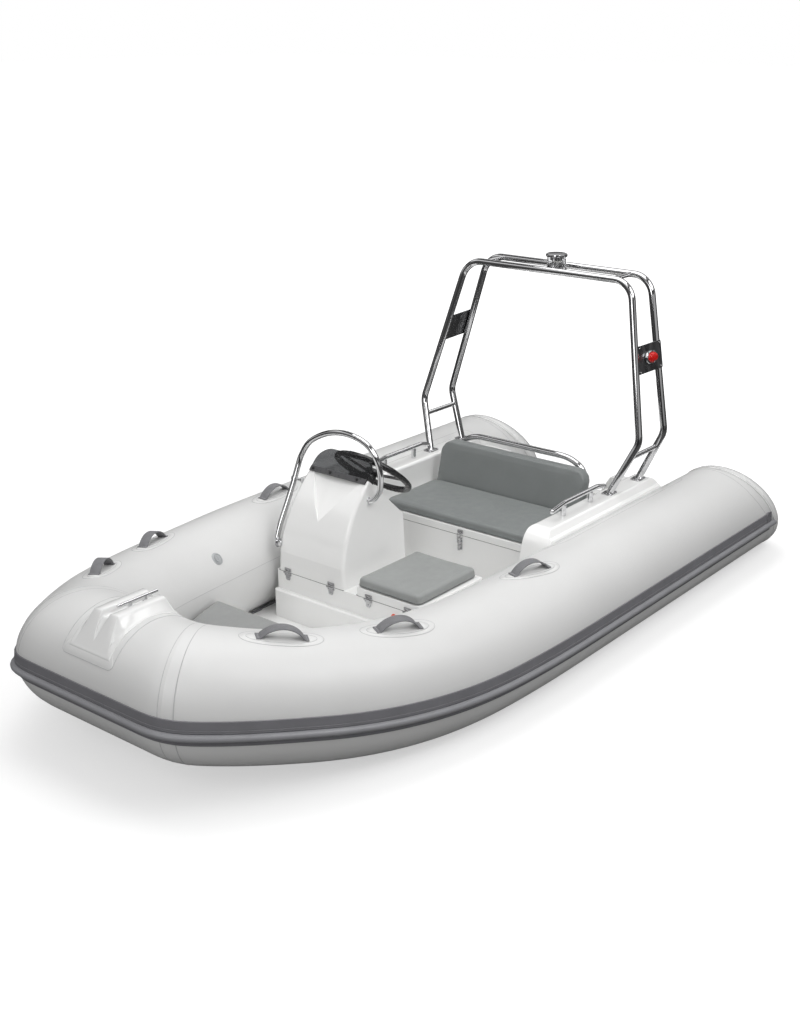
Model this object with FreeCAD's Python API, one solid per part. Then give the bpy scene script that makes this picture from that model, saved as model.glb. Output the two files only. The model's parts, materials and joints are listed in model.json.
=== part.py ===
import FreeCAD
import Part
import math
import os

V = FreeCAD.Vector

# Small open boat with a rigid V hull and an inflatable collar, in millimetres.
# X points to the bow, Y to port and Z up. The origin is on the centreline,
# at the waterline, in the plane of the transom's aft face.

# General clearances and cutting allowance
seat_gap = 0.3
overrun = 20.0
far = 6000.0
match_tolerance = 1e-9

# Collar: two side tubes and a short tube across the bow
tube_radius = 239.5
tube_bow_radius = 233.0
tube_centre_y = 708.5
tube_centre_z = 222.0
curve_start_x = 1151.0
bow_centre_x = 2777.0
bow_corner_y = 282.0
curve_lead_in = 621.0
curve_lead_out = 644.0
curve_exit_angle = 39.0
sheer_start_x = 1729.0
sheer_rise = 135.0
swell_start_x = 1100.0
tail_start_x = -456.0
tail_length = 156.0
tail_slope = 0.68
curve_stations = 9
# Along the tail, the radius left at each stage
tail_shares = ((0.0, 1.0), (0.2, 0.971), (0.4, 0.895), (0.6, 0.775), (0.78, 0.6), (0.92, 0.39), (1.0, 0.17))
cap_overlap = 32.0
cap_face_x = tail_start_x + cap_overlap

# Rubbing strake and its rail, glued round the outside of the collar
strake_top_angle = 8.8
strake_low_angle = -14.0
strake_thickness = 5.0
strake_gap = 0.6
rail_half_height = 14.0
rail_reach = 22.0
rail_crest_half_height = 7.0
strake_end_gap = 22.0
strake_end_x = cap_face_x + strake_end_gap
rail_end_overlap = 6.0
rail_end_x = cap_face_x - rail_end_overlap
rail_angle = -5.3

# Hull
deck_z = 30.0
transom_x = 0.0
keel_depth = 190.0
chine_half_beam = 570.0
chine_z = -25.0
chine_flat_width = 34.0
lifting_strake_share = 0.5
lifting_strake_width = 26.0
tube_seat_inset = 92.0
hull_flat_end_x = 1400.0
stem_x = 2777.0
stem_z = 95.0
stem_half_width = 24.0
keel_power = 1.75
chine_power = 1.9
plan_power = 2.3
hull_stations = 7
strip_side_gap = 3.0
strip_width = 35.0
strip_thickness = 6.0

# Transom and splash well
transom_thickness = 55.0
transom_top_z = 318.0
transom_side_gap = 2.5
transom_half_width = tube_centre_y - tube_radius - transom_side_gap
transom_cut_half_width = 250.0
transom_shoulder = 60.0
well_floor_z = 120.0
well_end_x = 300.0
scupper_radius = 25.0
scupper_y = 330.0

# Pad on the transom that an outboard clamps to
clamp_pad_half_width = 150.0
clamp_pad_height = 150.0
clamp_pad_thickness = 4.0
clamp_pad_corner = 18.0

# Side mouldings that carry the arch and the side rails
moulding_inner_y = 455.0
moulding_deck_outer_y = 553.0
moulding_shoulder_y = 576.0
moulding_deck_z = 478.0
moulding_shoulder_z = 450.0
moulding_flange_y = 592.0
moulding_flange_z = 446.0
moulding_front_x = 1012.0
moulding_nose_x = 1044.0
moulding_nose_z = 340.0
moulding_toe_x = 1062.0
moulding_aft_x = 40.0
moulding_aft_top_x = 75.0
moulding_edge_bend = 14.0
moulding_shoulder_bend = 9.0
moulding_front_bend = 90.0
moulding_nose_bend = 60.0
moulding_aft_bend = 30.0

# Bench locker, lid, cushion and backrest
bench_front_x = 910.0
bench_back_x = 302.0
bench_wall = 20.0
bench_top_z = 312.0
bench_side_gap = 6.0
bench_lid_thickness = 33.0
bench_cushion_thickness = 40.0
bench_cushion_front_x = 903.0
bench_cushion_back_x = 505.0
bench_cushion_half_width = 413.0
bench_cushion_corner = 50.0
cushion_edge = 14.0
backrest_half_width = 415.0
backrest_thickness = 60.0
backrest_height = 188.0
backrest_lean = 55.0
backrest_corner = 60.0
backrest_rail_radius = 12.5
backrest_rail_x = 372.0
backrest_rail_top_z = 592.0
backrest_rail_half_top = 245.0
backrest_rail_half_foot = 345.0
backrest_rail_shoulder_z = 541.0
backrest_rail_bend = 45.0
latch_y = 45.0
latch_width = 26.0
latch_height = 62.0
latch_thickness = 9.0
latch_plate_thickness = 3.0
latch_lever_width = 13.0
latch_margin = 6.0
latch_top_z = 306.0

# Seat and console base box
base_front_x = 1600.0
base_aft_x = 1188.0
base_half_width = 440.0
base_top_z = 245.0
base_wall = 20.0
base_rim = 16.0
base_corner = 8.0
plinth_top_z = 158.0
plinth_proud = 20.0
plinth_bevel = 6.0
console_side_margin = 10.0
lid_side_margin = 68.0

# Helm console
console_half_width = 190.0
console_y = console_half_width - base_half_width + console_side_margin
console_port_y = console_y + console_half_width
divider_step = 30.0
divider_y = console_port_y + divider_step
console_top_half_width = 165.0
console_wall = 7.0
console_front_knee_z = 335.0
console_front_mid_x = 1532.0
console_front_mid_z = 525.0
console_top_x = 1405.0
console_top_z = 676.0
console_aft_x = 1190.0
dash_foot_z = 474.0
console_edge_round = 16.0
scallop_tip_share = 0.42
scallop_depth = 15.0
scallop_margin = 24.0
screen_height = 100.0
screen_thickness = 6.0
screen_lean = 45.0
screen_base_height = 22.0
screen_margin = 8.0
screen_corner = 70.0
pod_width = 92.0
pod_depth = 44.0
pod_height = 58.0
pod_reach = 75.0
pod_drop = 52.0
pod_edge = 11.0

# Grab rail round the console: a long leg to starboard and a short one to port
console_rail_radius = 12.5
console_rail_side_gap = 13.0
console_rail_heel_gap = 7.0
console_rail_sunk = 14.0
console_rail_low_x = 1597.0
console_rail_low_z = 372.0
console_rail_heel_x = 1584.0
console_rail_heel_z = 404.0
console_rail_shoulder_x = 1437.0
console_rail_shoulder_z = 640.0
console_rail_top_x = 1398.0
console_rail_top_z = 856.0
console_rail_crown_half = 170.0
console_rail_port_x = 1388.0
console_rail_port_z = 655.0
console_rail_end_x = 1410.0
console_rail_end_z = 588.0
console_rail_heel_bend = 18.0
console_rail_bend = 95.0
console_rail_crown_bend = 150.0
console_rail_toe_bend = 30.0

# Steering wheel, turning on a raked column
wheel_x = 1181.0
wheel_z = 625.0
wheel_rake = 40.4
wheel_rim_radius = 163.5
wheel_rim_section = 12.5
wheel_hub_radius = 34.0
wheel_hub_depth = 26.0
wheel_spoke_width = 26.0
wheel_spoke_thickness = 9.0
wheel_spoke_count = 3
wheel_first_spoke = 90.0
full_turn = 360.0
column_radius = 24.0
column_bezel_radius = 46.0
column_bezel_depth = 14.0
column_running_gap = 0.3

# Jockey seat lid and cushion
console_to_lid = 64.0
lid_stbd_y = console_port_y + console_to_lid
lid_port_y = base_half_width - lid_side_margin
lid_height = 38.0
lid_corner = 14.0
cushion_stbd_inset = 1.0
cushion_port_inset = 22.0
cushion_thickness = 44.0
cushion_front_x = 1599.0
cushion_back_x = 1196.0
cushion_corner = 24.0

# Butt hinges: on the front of the base box and on the back of the bench
hinge_pin_radius = 4.5
hinge_width = 40.0
hinge_knuckle_count = 3
hinge_upper_leaf = 14.0
hinge_lower_leaf = 34.0
hinge_leaf_thickness = 4.0
hinge_stand_off = 7.0
console_hinge_reaches = (-132.0, 112.0)
console_hinge_ys = tuple(console_y + reach for reach in console_hinge_reaches)
lid_hinge_insets = (65.0, 74.0)
lid_hinge_ys = (lid_stbd_y + lid_hinge_insets[0], lid_port_y - lid_hinge_insets[1])
bench_hinge_ys = (-300.0, 0.0, 300.0)
hinge_running_gap = 0.25

# Bow locker and its pad
locker_aft_x = 1995.0
locker_top_z = 205.0
locker_side_gap = 1.0
locker_wall = 20.0
bow_sole_z = 112.0
pad_thickness = 42.0
pad_side_gap = 4.0

# Bow step moulding and cleat
bow_step_top_z = 617.0
bow_step_top_front_x = 2880.0
bow_step_top_back_x = 2662.0
bow_step_top_half_width = 64.0
bow_step_foot_z = 450.0
bow_step_foot_front_x = 2984.0
bow_step_foot_back_x = 2586.0
bow_step_foot_half_width = 106.0
bow_step_flange = 26.0
bow_step_flange_thickness = 5.0
bow_step_bead = 9.0
bow_step_bead_thickness = 13.0
bow_step_round = 12.0
groove_half_width = 24.0
groove_depth = 24.0
groove_tip_x = 2930.0
groove_tip_z = 540.0
groove_tip_radius = 4.0
cleat_length = 180.0
cleat_centre_x = 2740.0
cleat_rise = 26.0
cleat_bar_radius = 5.5
cleat_post_radius = 7.0
cleat_post_spacing = 70.0
cleat_foot_radius = 14.0
cleat_foot_thickness = 3.0

# Radar arch
arch_tube_radius = 16.0
arch_foot_y = 511.5
arch_front_foot_x = 410.0
arch_rear_foot_x = 150.0
arch_kink_y = 610.5
arch_kink_z = 718.0
arch_front_kink_x = 341.0
arch_rear_kink_x = 112.0
arch_top_y = 450.0
arch_top_z = 1407.0
arch_front_top_x = 211.0
arch_rear_top_x = 38.0
arch_top_bend = 105.0
arch_kink_bend = 90.0
arch_cross_radius = 11.0
arch_low_bar_share = 0.7
arch_top_bar_y = 352.0
foot_flange_radius = 24.0
foot_flange_thickness = 7.0

# Lights on the arch
plate_low_share = 0.425
plate_high_share = 0.59
plate_thickness = 4.0
nav_light_length = 74.0
nav_light_height = 46.0
nav_light_depth = 38.0
nav_bezel_margin = 7.0
nav_bezel_depth = 8.0
mast_base_radius = 44.0
mast_base_height = 26.0
mast_lens_radius = 40.0
mast_lens_height = 42.0
mast_cap_height = 12.0

# Side grab rails on the mouldings
side_rail_radius = 11.0
side_rail_y = 503.0
side_rail_height = 57.0
side_rail_front_x = 876.0
side_rail_front_bend_x = 776.0
side_rail_rear_bend_x = 505.0
side_rail_rear_x = 446.0
side_rail_end_drop = 14.0
side_rail_bend = 60.0
side_rail_post_xs = (783.0, 560.0)
side_rail_post_radius = 9.0

# Carrying handles on the collar's crown: X of the middle of each
handle_xs = (2518.0, 2107.0, 1353.0)
handle_span = 184.0
handle_rise = 45.0
handle_width = 42.0
handle_thickness = 6.0
handle_foot = 16.0

# Valves and towing eyes
valve_x = 1946.0
valve_angle = 40.0
valve_radius = 23.0
valve_height = 7.0
eye_plate_length = 70.0
eye_plate_width = 34.0
eye_plate_thickness = 6.0
eye_rod_radius = 6.0
eye_hole_radius = 12.0
stern_eye_y = 420.0
stern_eye_z = 230.0


def box(x0, x1, y0, y1, z0, z1):
    """Block between two corners."""
    return Part.makeBox(x1 - x0, y1 - y0, z1 - z0, V(x0, y0, z0))


def prism(points, sweep):
    """Closed outline of 3D points, pushed along a vector."""
    wire = Part.makePolygon(list(points) + [points[0]])
    return Part.Face(wire).extrude(sweep)


def prism_x(points, x0, x1):
    return prism([V(x0, y, z) for y, z in points], V(x1 - x0, 0, 0))


def prism_y(points, y0, y1):
    return prism([V(x, y0, z) for x, z in points], V(0, y1 - y0, 0))


def prism_z(points, z0, z1):
    return prism([V(x, y, z0) for x, y in points], V(0, 0, z1 - z0))


def mirrored(shape):
    """The same piece on the starboard side."""
    return shape.mirror(V(0, 0, 0), V(0, 1, 0))


def rod(start, end, radius):
    """Round bar between two points."""
    along = end - start
    return Part.makeCylinder(radius, along.Length, start, along)


def fuse(shapes):
    whole = shapes[0]
    for shape in shapes[1:]:
        whole = whole.fuse(shape)
    return whole.removeSplitter()


def polyline_with_bends(points, bends):
    """Wire of straight runs joined by tangent arcs, one bend radius per inner point."""
    edges = []
    last = points[0]
    for index, bend in enumerate(bends):
        corner = points[index + 1]
        back = (points[index] - corner).normalize()
        ahead = (points[index + 2] - corner).normalize()
        half_angle = back.getAngle(ahead) / 2
        setback = bend / math.tan(half_angle)
        middle = (back + ahead).normalize()
        arc_start = corner + back * setback
        arc_end = corner + ahead * setback
        arc_mid = corner + middle * (bend / math.sin(half_angle) - bend)
        if (arc_start - last).Length > seat_gap:
            edges.append(Part.makeLine(last, arc_start))
        edges.append(Part.Arc(arc_start, arc_mid, arc_end).toShape())
        last = arc_end
    edges.append(Part.makeLine(last, points[-1]))
    return Part.Wire(edges)


def closed_face(points, bends):
    """Flat face inside a bent polyline that a straight line closes."""
    edges = polyline_with_bends(points, bends).Edges
    return Part.Face(Part.Wire(edges + [Part.makeLine(points[-1], points[0])]))


def pipe(points, bends, radius):
    """Round bar bent along a path."""
    path = polyline_with_bends(points, bends)
    start = points[0]
    circle = Part.Wire(Part.makeCircle(radius, start, points[1] - start))
    sweep = Part.BRepOffsetAPI.MakePipeShell(path)
    sweep.add(circle)
    sweep.build()
    sweep.makeSolid()
    return sweep.shape()


def rounded_plate(x0, x1, half, z0, z1, corner):
    """Block across the centreline with rounded uprights."""
    block = box(x0, x1, -half, half, z0, z1)
    uprights = [e for e in block.Edges if abs(e.Vertexes[0].Z - e.Vertexes[1].Z) > seat_gap]
    return block.makeFillet(corner, uprights)


def rounded_block(x0, x1, y0, y1, z0, z1, corner, edge):
    """Cushion-like block: rounded in plan, then softened at its top edges."""
    block = box(x0, x1, y0, y1, z0, z1)
    uprights = [e for e in block.Edges if abs(e.Vertexes[0].Z - e.Vertexes[1].Z) > edge]
    block = block.makeFillet(corner, uprights)
    top = [e for e in block.Edges if min(v.Z for v in e.Vertexes) > z1 - seat_gap]
    return block.makeFillet(edge, top)


# Path of the collar

def collar_point(share):
    """Plan position and heading on the curved part of the port tube."""
    exit_angle = math.radians(curve_exit_angle)
    p0 = V(curve_start_x, tube_centre_y, 0)
    p3 = V(bow_centre_x, bow_corner_y, 0)
    p1 = p0 + V(curve_lead_in, 0, 0)
    p2 = p3 - V(math.cos(exit_angle), -math.sin(exit_angle), 0) * curve_lead_out
    rest = 1 - share
    point = p0 * rest ** 3 + p1 * (3 * rest ** 2 * share) + p2 * (3 * rest * share ** 2) + p3 * share ** 3
    heading = (p1 - p0) * rest ** 2 + (p2 - p1) * (2 * rest * share) + (p3 - p2) * share ** 2
    return point, heading.normalize()


def sheer(x):
    """Rise of the tube's centre above its height aft."""
    share = max(0.0, (x - sheer_start_x) / (bow_centre_x - sheer_start_x))
    return tube_centre_z + sheer_rise * share ** 2


def collar_radius(x):
    share = max(0.0, (x - swell_start_x) / (bow_centre_x - swell_start_x))
    return tube_radius + (tube_bow_radius - tube_radius) * share ** 2


def curve_frames():
    """Centre, outward direction and radius at each station of the curved part."""
    frames = []
    for step in range(curve_stations):
        point, heading = collar_point(step / (curve_stations - 1))
        outward = V(-heading.y, heading.x, 0)
        centre = V(point.x, point.y, sheer(point.x))
        frames.append((centre, outward, collar_radius(point.x)))
    return frames


def mitre_frame():
    """Frame in the plane where the side tube meets the bow tube."""
    centre, outward, radius = curve_frames()[-1]
    across = (outward + V(1, 0, 0)).normalize()
    stretch = 1 / across.dot(outward)
    return centre, across * stretch, radius


def frame_point(frame, outward_distance, height):
    return frame[0] + frame[1] * outward_distance + V(0, 0, height)


def ring(frame, extra=0.0):
    """Closed section at a frame: round, or oval in the mitre's plane."""
    centre, outward, radius = frame
    radius += extra
    if outward.Length < 1 + match_tolerance:
        return Part.Wire(Part.makeCircle(radius, centre, outward.cross(V(0, 0, 1))))
    oval = Part.Ellipse(centre + outward * radius, centre + V(0, 0, radius), centre)
    return Part.Wire(oval.toShape())


def side_frames():
    """Frames of the port tube from the straight part's end to the mitre."""
    return curve_frames()[:-1] + [mitre_frame()]


def straight_frames(x_from):
    """Frames of the port tube's straight part."""
    return [(V(x_from, tube_centre_y, tube_centre_z), V(0, 1, 0), tube_radius), curve_frames()[0]]


def tail_ring(x, radius):
    """Closed section across the tail, in a plane whose top leans forward."""
    centre = V(x, tube_centre_y, tube_centre_z)
    tall = V(tail_slope, 0, 1) * radius
    return Part.Wire(Part.Ellipse(centre + tall, centre - V(0, radius, 0), centre).toShape())


def behind_plane(x):
    """Everything aft of a leaning plane across the port tube."""
    height = tube_radius + overrun
    high = tube_centre_z + height
    low = tube_centre_z - height
    outline = ((x + tail_slope * height, high), (x - tail_slope * height, low), (-far, low), (-far, high))
    return prism_y(outline, tube_centre_y - height, tube_centre_y + height)


def bow_frames():
    """Frames at the two ends of the tube across the bow."""
    port = mitre_frame()
    starboard = (V(port[0].x, -port[0].y, port[0].z), V(port[1].x, -port[1].y, 0), port[2])
    return [port, starboard]


def loft(wires, ruled=False):
    return Part.makeLoft(wires, True, ruled)


def collar_side(extra=0.0):
    """The port tube with its closed tail, as one solid."""
    radius = tube_radius + extra
    straight = loft([tail_ring(tail_start_x, radius), ring(curve_frames()[0], extra)], True)
    curved = loft([ring(f, extra) for f in side_frames()])
    tail = loft([tail_ring(tail_start_x - tail_length * stage, radius * left) for stage, left in tail_shares])
    return fuse([straight, curved, tail])


def collar_bow(extra=0.0):
    return loft([ring(f, extra) for f in bow_frames()], True)


def polar_point(frame, radius, angle):
    """Point round a frame at an angle above its outward line."""
    turn = math.radians(angle)
    return frame_point(frame, radius * math.cos(turn), radius * math.sin(turn))


def strake_section(frame):
    """Flat band that hugs the tube from above to below its widest line."""
    inner = frame[2] + strake_gap
    outer = inner + strake_thickness
    angles = (strake_top_angle, rail_angle, strake_low_angle)
    inside = [polar_point(frame, inner, a) for a in angles]
    outside = [polar_point(frame, outer, a) for a in angles]
    edges = [Part.Arc(*outside).toShape(), Part.makeLine(outside[2], inside[2]),
             Part.Arc(inside[2], inside[1], inside[0]).toShape(), Part.makeLine(inside[0], outside[0])]
    return Part.Wire(edges)


def rail_section(frame):
    """Fender rail that stands proud of the band."""
    root = frame[2] + strake_thickness + 2 * strake_gap
    crest = frame[2] + rail_reach
    base_turn = math.degrees(math.asin(rail_half_height / root))
    crest_turn = math.degrees(math.asin(rail_crest_half_height / crest))
    base = [polar_point(frame, root, rail_angle + turn) for turn in (base_turn, 0, -base_turn)]
    top = [polar_point(frame, crest - seat_gap, rail_angle - crest_turn), polar_point(frame, crest, rail_angle),
           polar_point(frame, crest - seat_gap, rail_angle + crest_turn)]
    edges = [Part.Arc(*base).toShape(), Part.makeLine(base[2], top[0]),
             Part.Arc(*top).toShape(), Part.makeLine(top[2], base[0])]
    return Part.Wire(edges)


def around_collar(section, end_x):
    """Carry a section along side, bow and back, as one solid."""
    side = [loft([section(f) for f in straight_frames(end_x)], True), loft([section(f) for f in side_frames()])]
    bow = loft([section(f) for f in bow_frames()], True)
    return fuse(side + [bow] + [mirrored(s) for s in side])


# Hull

def hull_section(x):
    """Half breadths and heights from the keel up, at one place along the hull."""
    share = max(0.0, (x - hull_flat_end_x) / (stem_x - hull_flat_end_x))
    keel = -keel_depth + (stem_z + keel_depth) * share ** keel_power
    chine = chine_z + (stem_z - chine_z) * share ** chine_power
    half = stem_half_width + (chine_half_beam - stem_half_width) * (1 - share ** plan_power)
    fullness = half / chine_half_beam
    flat = chine_flat_width * fullness
    step = lifting_strake_width * fullness
    strake_y = (half - flat) * lifting_strake_share
    strake_z = keel + (chine - keel) * lifting_strake_share
    top_y = on_tube(x)[0].y - tube_seat_inset
    top_z = deck_z + sheer(x) - tube_centre_z
    side = [V(x, strake_y, strake_z), V(x, strake_y + step, strake_z), V(x, half - flat, chine),
            V(x, half, chine), V(x, top_y, top_z)]
    starboard = [V(p.x, -p.y, p.z) for p in reversed(side)]
    return Part.makePolygon([V(x, 0, keel)] + side + starboard + [V(x, 0, keel)])


# How far outboard of the tube's inner edge the joint strip can reach
strip_top_drop = tube_centre_z - deck_z - seat_gap - strip_thickness
strip_outer = tube_radius - math.sqrt(tube_radius ** 2 - strip_top_drop ** 2) - strip_side_gap


def hull():
    """V hull with a chine and a lifting strake each side, drawn up to the bow tube."""
    straight = loft([hull_section(transom_x), hull_section(hull_flat_end_x)], True)
    run = stem_x - hull_flat_end_x
    forward = loft([hull_section(hull_flat_end_x + run * step / hull_stations)
                    for step in range(hull_stations + 1)])
    under_tube = -strip_outer - seat_gap
    sole = bow_prism(transom_x - overrun, deck_z, far, under_tube)
    bow_sole = box(locker_aft_x + locker_wall + seat_gap, far, -far, far, deck_z - overrun, bow_sole_z)
    return fuse([straight, forward]).cut(sole.cut(bow_sole))


def bow_locker():
    """Locker across the bow: a bulkhead, and a block on the raised sole forward of it."""
    whole = bow_prism(locker_aft_x, deck_z + seat_gap, locker_top_z, locker_side_gap)
    return whole.cut(box(locker_aft_x + locker_wall, far, -far, far, deck_z, bow_sole_z + seat_gap))


def plan_outline(gap, x_from, x_to):
    """Plan points along the port tube's inner edge, moved inboard by a gap."""
    line = [V(transom_x - far, tube_centre_y - tube_radius - gap, 0)]
    for step in range(2 * curve_stations):
        point, heading = collar_point(step / (2 * curve_stations - 1))
        inset = collar_radius(point.x) + gap
        line.append(point + V(heading.y, -heading.x, 0) * inset)
    port = []
    for before, after in zip(line, line[1:]):
        for x in (x_from, x_to):
            if before.x < x <= after.x:
                port.append(before + (after - before) * ((x - before.x) / (after.x - before.x)))
        if x_from < after.x < x_to:
            port.append(after)
    return sorted(port, key=lambda p: p.x)


def deck_strip():
    """Dark joint strip where the sole meets the collar, one each side."""
    x_from = moulding_toe_x + overrun
    inner = plan_outline(strip_width - strip_outer, x_from, locker_aft_x - overrun)
    outer = plan_outline(-strip_outer, x_from, locker_aft_x - overrun)
    points = [(p.x, p.y) for p in inner] + [(p.x, p.y) for p in reversed(outer)]
    port = prism_z(points, deck_z + seat_gap, deck_z + seat_gap + strip_thickness)
    return Part.makeCompound([port, mirrored(port)])


def transom():
    """Transom with a clamping cut-out, two scuppers and the splash well sole."""
    x_front = transom_x + transom_thickness
    low = deck_z + seat_gap
    high = moulding_deck_z - transom_shoulder
    cut_top = transom_cut_half_width + transom_shoulder
    outline = ((-transom_half_width, low), (transom_half_width, low), (transom_half_width, high),
               (cut_top, high), (transom_cut_half_width, transom_top_z),
               (-transom_cut_half_width, transom_top_z), (-cut_top, high), (-transom_half_width, high))
    wall = prism_x(outline, transom_x, x_front)
    floor = box(x_front, well_end_x, -moulding_inner_y + bench_side_gap,
                moulding_inner_y - bench_side_gap, low, well_floor_z)
    whole = wall.fuse(floor)
    for side in (-1, 1):
        hole_z = well_floor_z + scupper_radius
        start = V(transom_x - overrun, side * scupper_y, hole_z)
        length = transom_thickness + 2 * overrun
        whole = whole.cut(Part.makeCylinder(scupper_radius, length, start, V(1, 0, 0)))
    return whole


def clamp_pad():
    """Flat pad on the aft face of the transom, in the cut-out."""
    x1 = transom_x - seat_gap
    pad = box(x1 - clamp_pad_thickness, x1, -clamp_pad_half_width, clamp_pad_half_width,
              transom_top_z - clamp_pad_height, transom_top_z)
    corners = [e for e in pad.Edges if abs(e.Vertexes[0].X - e.Vertexes[1].X) > seat_gap]
    return pad.makeFillet(clamp_pad_corner, corners)


# Side mouldings

def side_moulding(tube):
    """Side deck that steps down to a flange lying on the crown of the tube."""
    low = deck_z + seat_gap
    section = [V(moulding_aft_x, moulding_inner_y, low), V(moulding_aft_x, moulding_inner_y, moulding_deck_z),
               V(moulding_aft_x, moulding_deck_outer_y, moulding_deck_z),
               V(moulding_aft_x, moulding_shoulder_y, moulding_shoulder_z),
               V(moulding_aft_x, moulding_flange_y, moulding_flange_z),
               V(moulding_aft_x, moulding_flange_y, low)]
    bends = (moulding_edge_bend, moulding_edge_bend, moulding_shoulder_bend, moulding_shoulder_bend)
    body = closed_face(section, bends).extrude(V(moulding_toe_x - moulding_aft_x, 0, 0))
    side_view = [V(moulding_aft_x, 0, low), V(moulding_aft_top_x, 0, moulding_deck_z),
                 V(moulding_front_x, 0, moulding_deck_z), V(moulding_nose_x, 0, moulding_nose_z),
                 V(moulding_toe_x, 0, low)]
    bends = (moulding_aft_bend, moulding_front_bend, moulding_nose_bend)
    body = body.common(closed_face(side_view, bends).extrude(V(0, far, 0)))
    body = body.cut(box(moulding_aft_x - overrun, transom_x + transom_thickness + seat_gap, 0,
                        transom_half_width + seat_gap, 0, moulding_deck_z - transom_shoulder + seat_gap))
    body = body.cut(tube)
    return max(body.Solids, key=lambda s: s.Volume)


# Bench

def open_box(x0, x1, y0, y1, z0, z1, wall):
    """Box with a floor and no top."""
    outer = box(x0, x1, y0, y1, z0, z1)
    return outer.cut(box(x0 + wall, x1 - wall, y0 + wall, y1 - wall, z0 + wall, z1 + overrun))


def bench_box():
    side = moulding_inner_y - bench_side_gap
    return open_box(bench_back_x, bench_front_x, -side, side, deck_z + seat_gap, bench_top_z, bench_wall)


def bench_lid():
    side = moulding_inner_y - bench_side_gap
    low = bench_top_z + seat_gap
    return box(bench_back_x, bench_front_x, -side, side, low, low + bench_lid_thickness)


bench_lid_top = bench_top_z + seat_gap + bench_lid_thickness


def bench_cushion():
    low = bench_lid_top + seat_gap
    return rounded_block(bench_cushion_back_x, bench_cushion_front_x, -bench_cushion_half_width,
                         bench_cushion_half_width, low, low + bench_cushion_thickness,
                         bench_cushion_corner, cushion_edge)


def backrest():
    """Upright pad that leans aft behind the bench cushion."""
    low = bench_lid_top + seat_gap
    high = low + backrest_height + bench_cushion_thickness
    front = bench_cushion_back_x - 2 * seat_gap
    outline = ((front, low), (front - backrest_lean, high),
               (front - backrest_lean - backrest_thickness, high), (front - backrest_thickness, low))
    pad = prism_y(outline, -backrest_half_width, backrest_half_width)
    ends = [e for e in pad.Edges if min(v.Z for v in e.Vertexes) > high - seat_gap and
            abs(e.Vertexes[0].Y - e.Vertexes[1].Y) < seat_gap]
    return pad.makeFillet(backrest_corner, ends)


def backrest_rail():
    """Hoop behind the backrest, standing on the lid."""
    low = bench_lid_top + seat_gap
    foot = [V(backrest_rail_x, s * backrest_rail_half_foot, low) for s in (1, -1)]
    knee = [V(backrest_rail_x, s * backrest_rail_half_foot, backrest_rail_shoulder_z) for s in (1, -1)]
    top = [V(backrest_rail_x, s * backrest_rail_half_top, backrest_rail_top_z) for s in (1, -1)]
    points = [foot[0], knee[0], top[0], top[1], knee[1], foot[1]]
    hoop = pipe(points, [backrest_rail_bend] * len(points[1:-1]), backrest_rail_radius)
    flanges = [Part.makeCylinder(2 * backrest_rail_radius, hinge_leaf_thickness, f) for f in foot]
    return fuse([hoop] + flanges)


def bench_latch():
    """Toggle latch on the front of the bench."""
    x = bench_front_x + seat_gap
    low = latch_top_z - latch_height
    plate = box(x, x + latch_plate_thickness, latch_y - latch_width / 2, latch_y + latch_width / 2,
                low, latch_top_z)
    lever = box(x, x + latch_thickness, latch_y - latch_lever_width / 2, latch_y + latch_lever_width / 2,
                low + latch_margin, latch_top_z - latch_margin)
    return plate.fuse(lever).removeSplitter()


# Base box under the console and the jockey seat

def base_box():
    """Two open lockers side by side on a plinth that stands proud in front."""
    low = deck_z + seat_gap
    body = box(base_aft_x, base_front_x, -base_half_width, base_half_width, low, base_top_z)
    front = base_front_x + plinth_proud
    plinth = ((base_front_x - base_wall, low), (front, low), (front, plinth_top_z - plinth_bevel),
              (front - plinth_bevel, plinth_top_z), (base_front_x - base_wall, plinth_top_z))
    body = body.fuse(prism_y(plinth, -base_half_width, base_half_width)).removeSplitter()
    corners = [e for e in body.Edges if abs(e.Vertexes[0].Z - e.Vertexes[1].Z) > base_corner
               and e.Vertexes[0].X > base_aft_x + base_wall]
    body = body.makeFillet(base_corner, corners)
    bays = ((console_y - console_half_width + base_rim, divider_y - base_wall - base_rim),
            (lid_stbd_y + base_rim, lid_port_y - base_rim))
    for y0, y1 in bays:
        body = body.cut(box(base_aft_x + base_wall, base_front_x - base_wall, y0, y1,
                            low + base_wall, base_top_z + overrun))
    return body


# Console

console_low_z = base_top_z + seat_gap


def console_solid(inset, low):
    """Console body: a curved side view met by a front view that narrows upwards."""
    top = V(console_top_x - inset, 0, console_top_z - inset)
    knee = V(base_front_x - inset, 0, console_front_knee_z)
    middle = V(console_front_mid_x - inset, 0, console_front_mid_z)
    dash = V(console_aft_x + inset, 0, dash_foot_z - inset)
    heel = V(console_aft_x + inset, 0, low)
    toe = V(base_front_x - inset, 0, low)
    edges = [Part.makeLine(heel, toe), Part.makeLine(toe, knee), Part.Arc(knee, middle, top).toShape(),
             Part.makeLine(top, dash), Part.makeLine(dash, heel)]
    side_view = Part.Face(Part.Wire(edges))
    side_view.translate(V(0, console_y - console_half_width, 0))
    body = side_view.extrude(V(0, 2 * console_half_width, 0))
    wide = console_half_width - inset
    narrow = console_top_half_width - inset
    front_view = ((console_y - wide, low), (console_y + wide, low),
                  (console_y + narrow, console_top_z), (console_y - narrow, console_top_z))
    return body.common(prism_x(front_view, console_aft_x - overrun, base_front_x + overrun))


def console_clear():
    """Console body with the seating gap round it, for cutting what lies against it."""
    return console_solid(-seat_gap, console_low_z)


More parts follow.
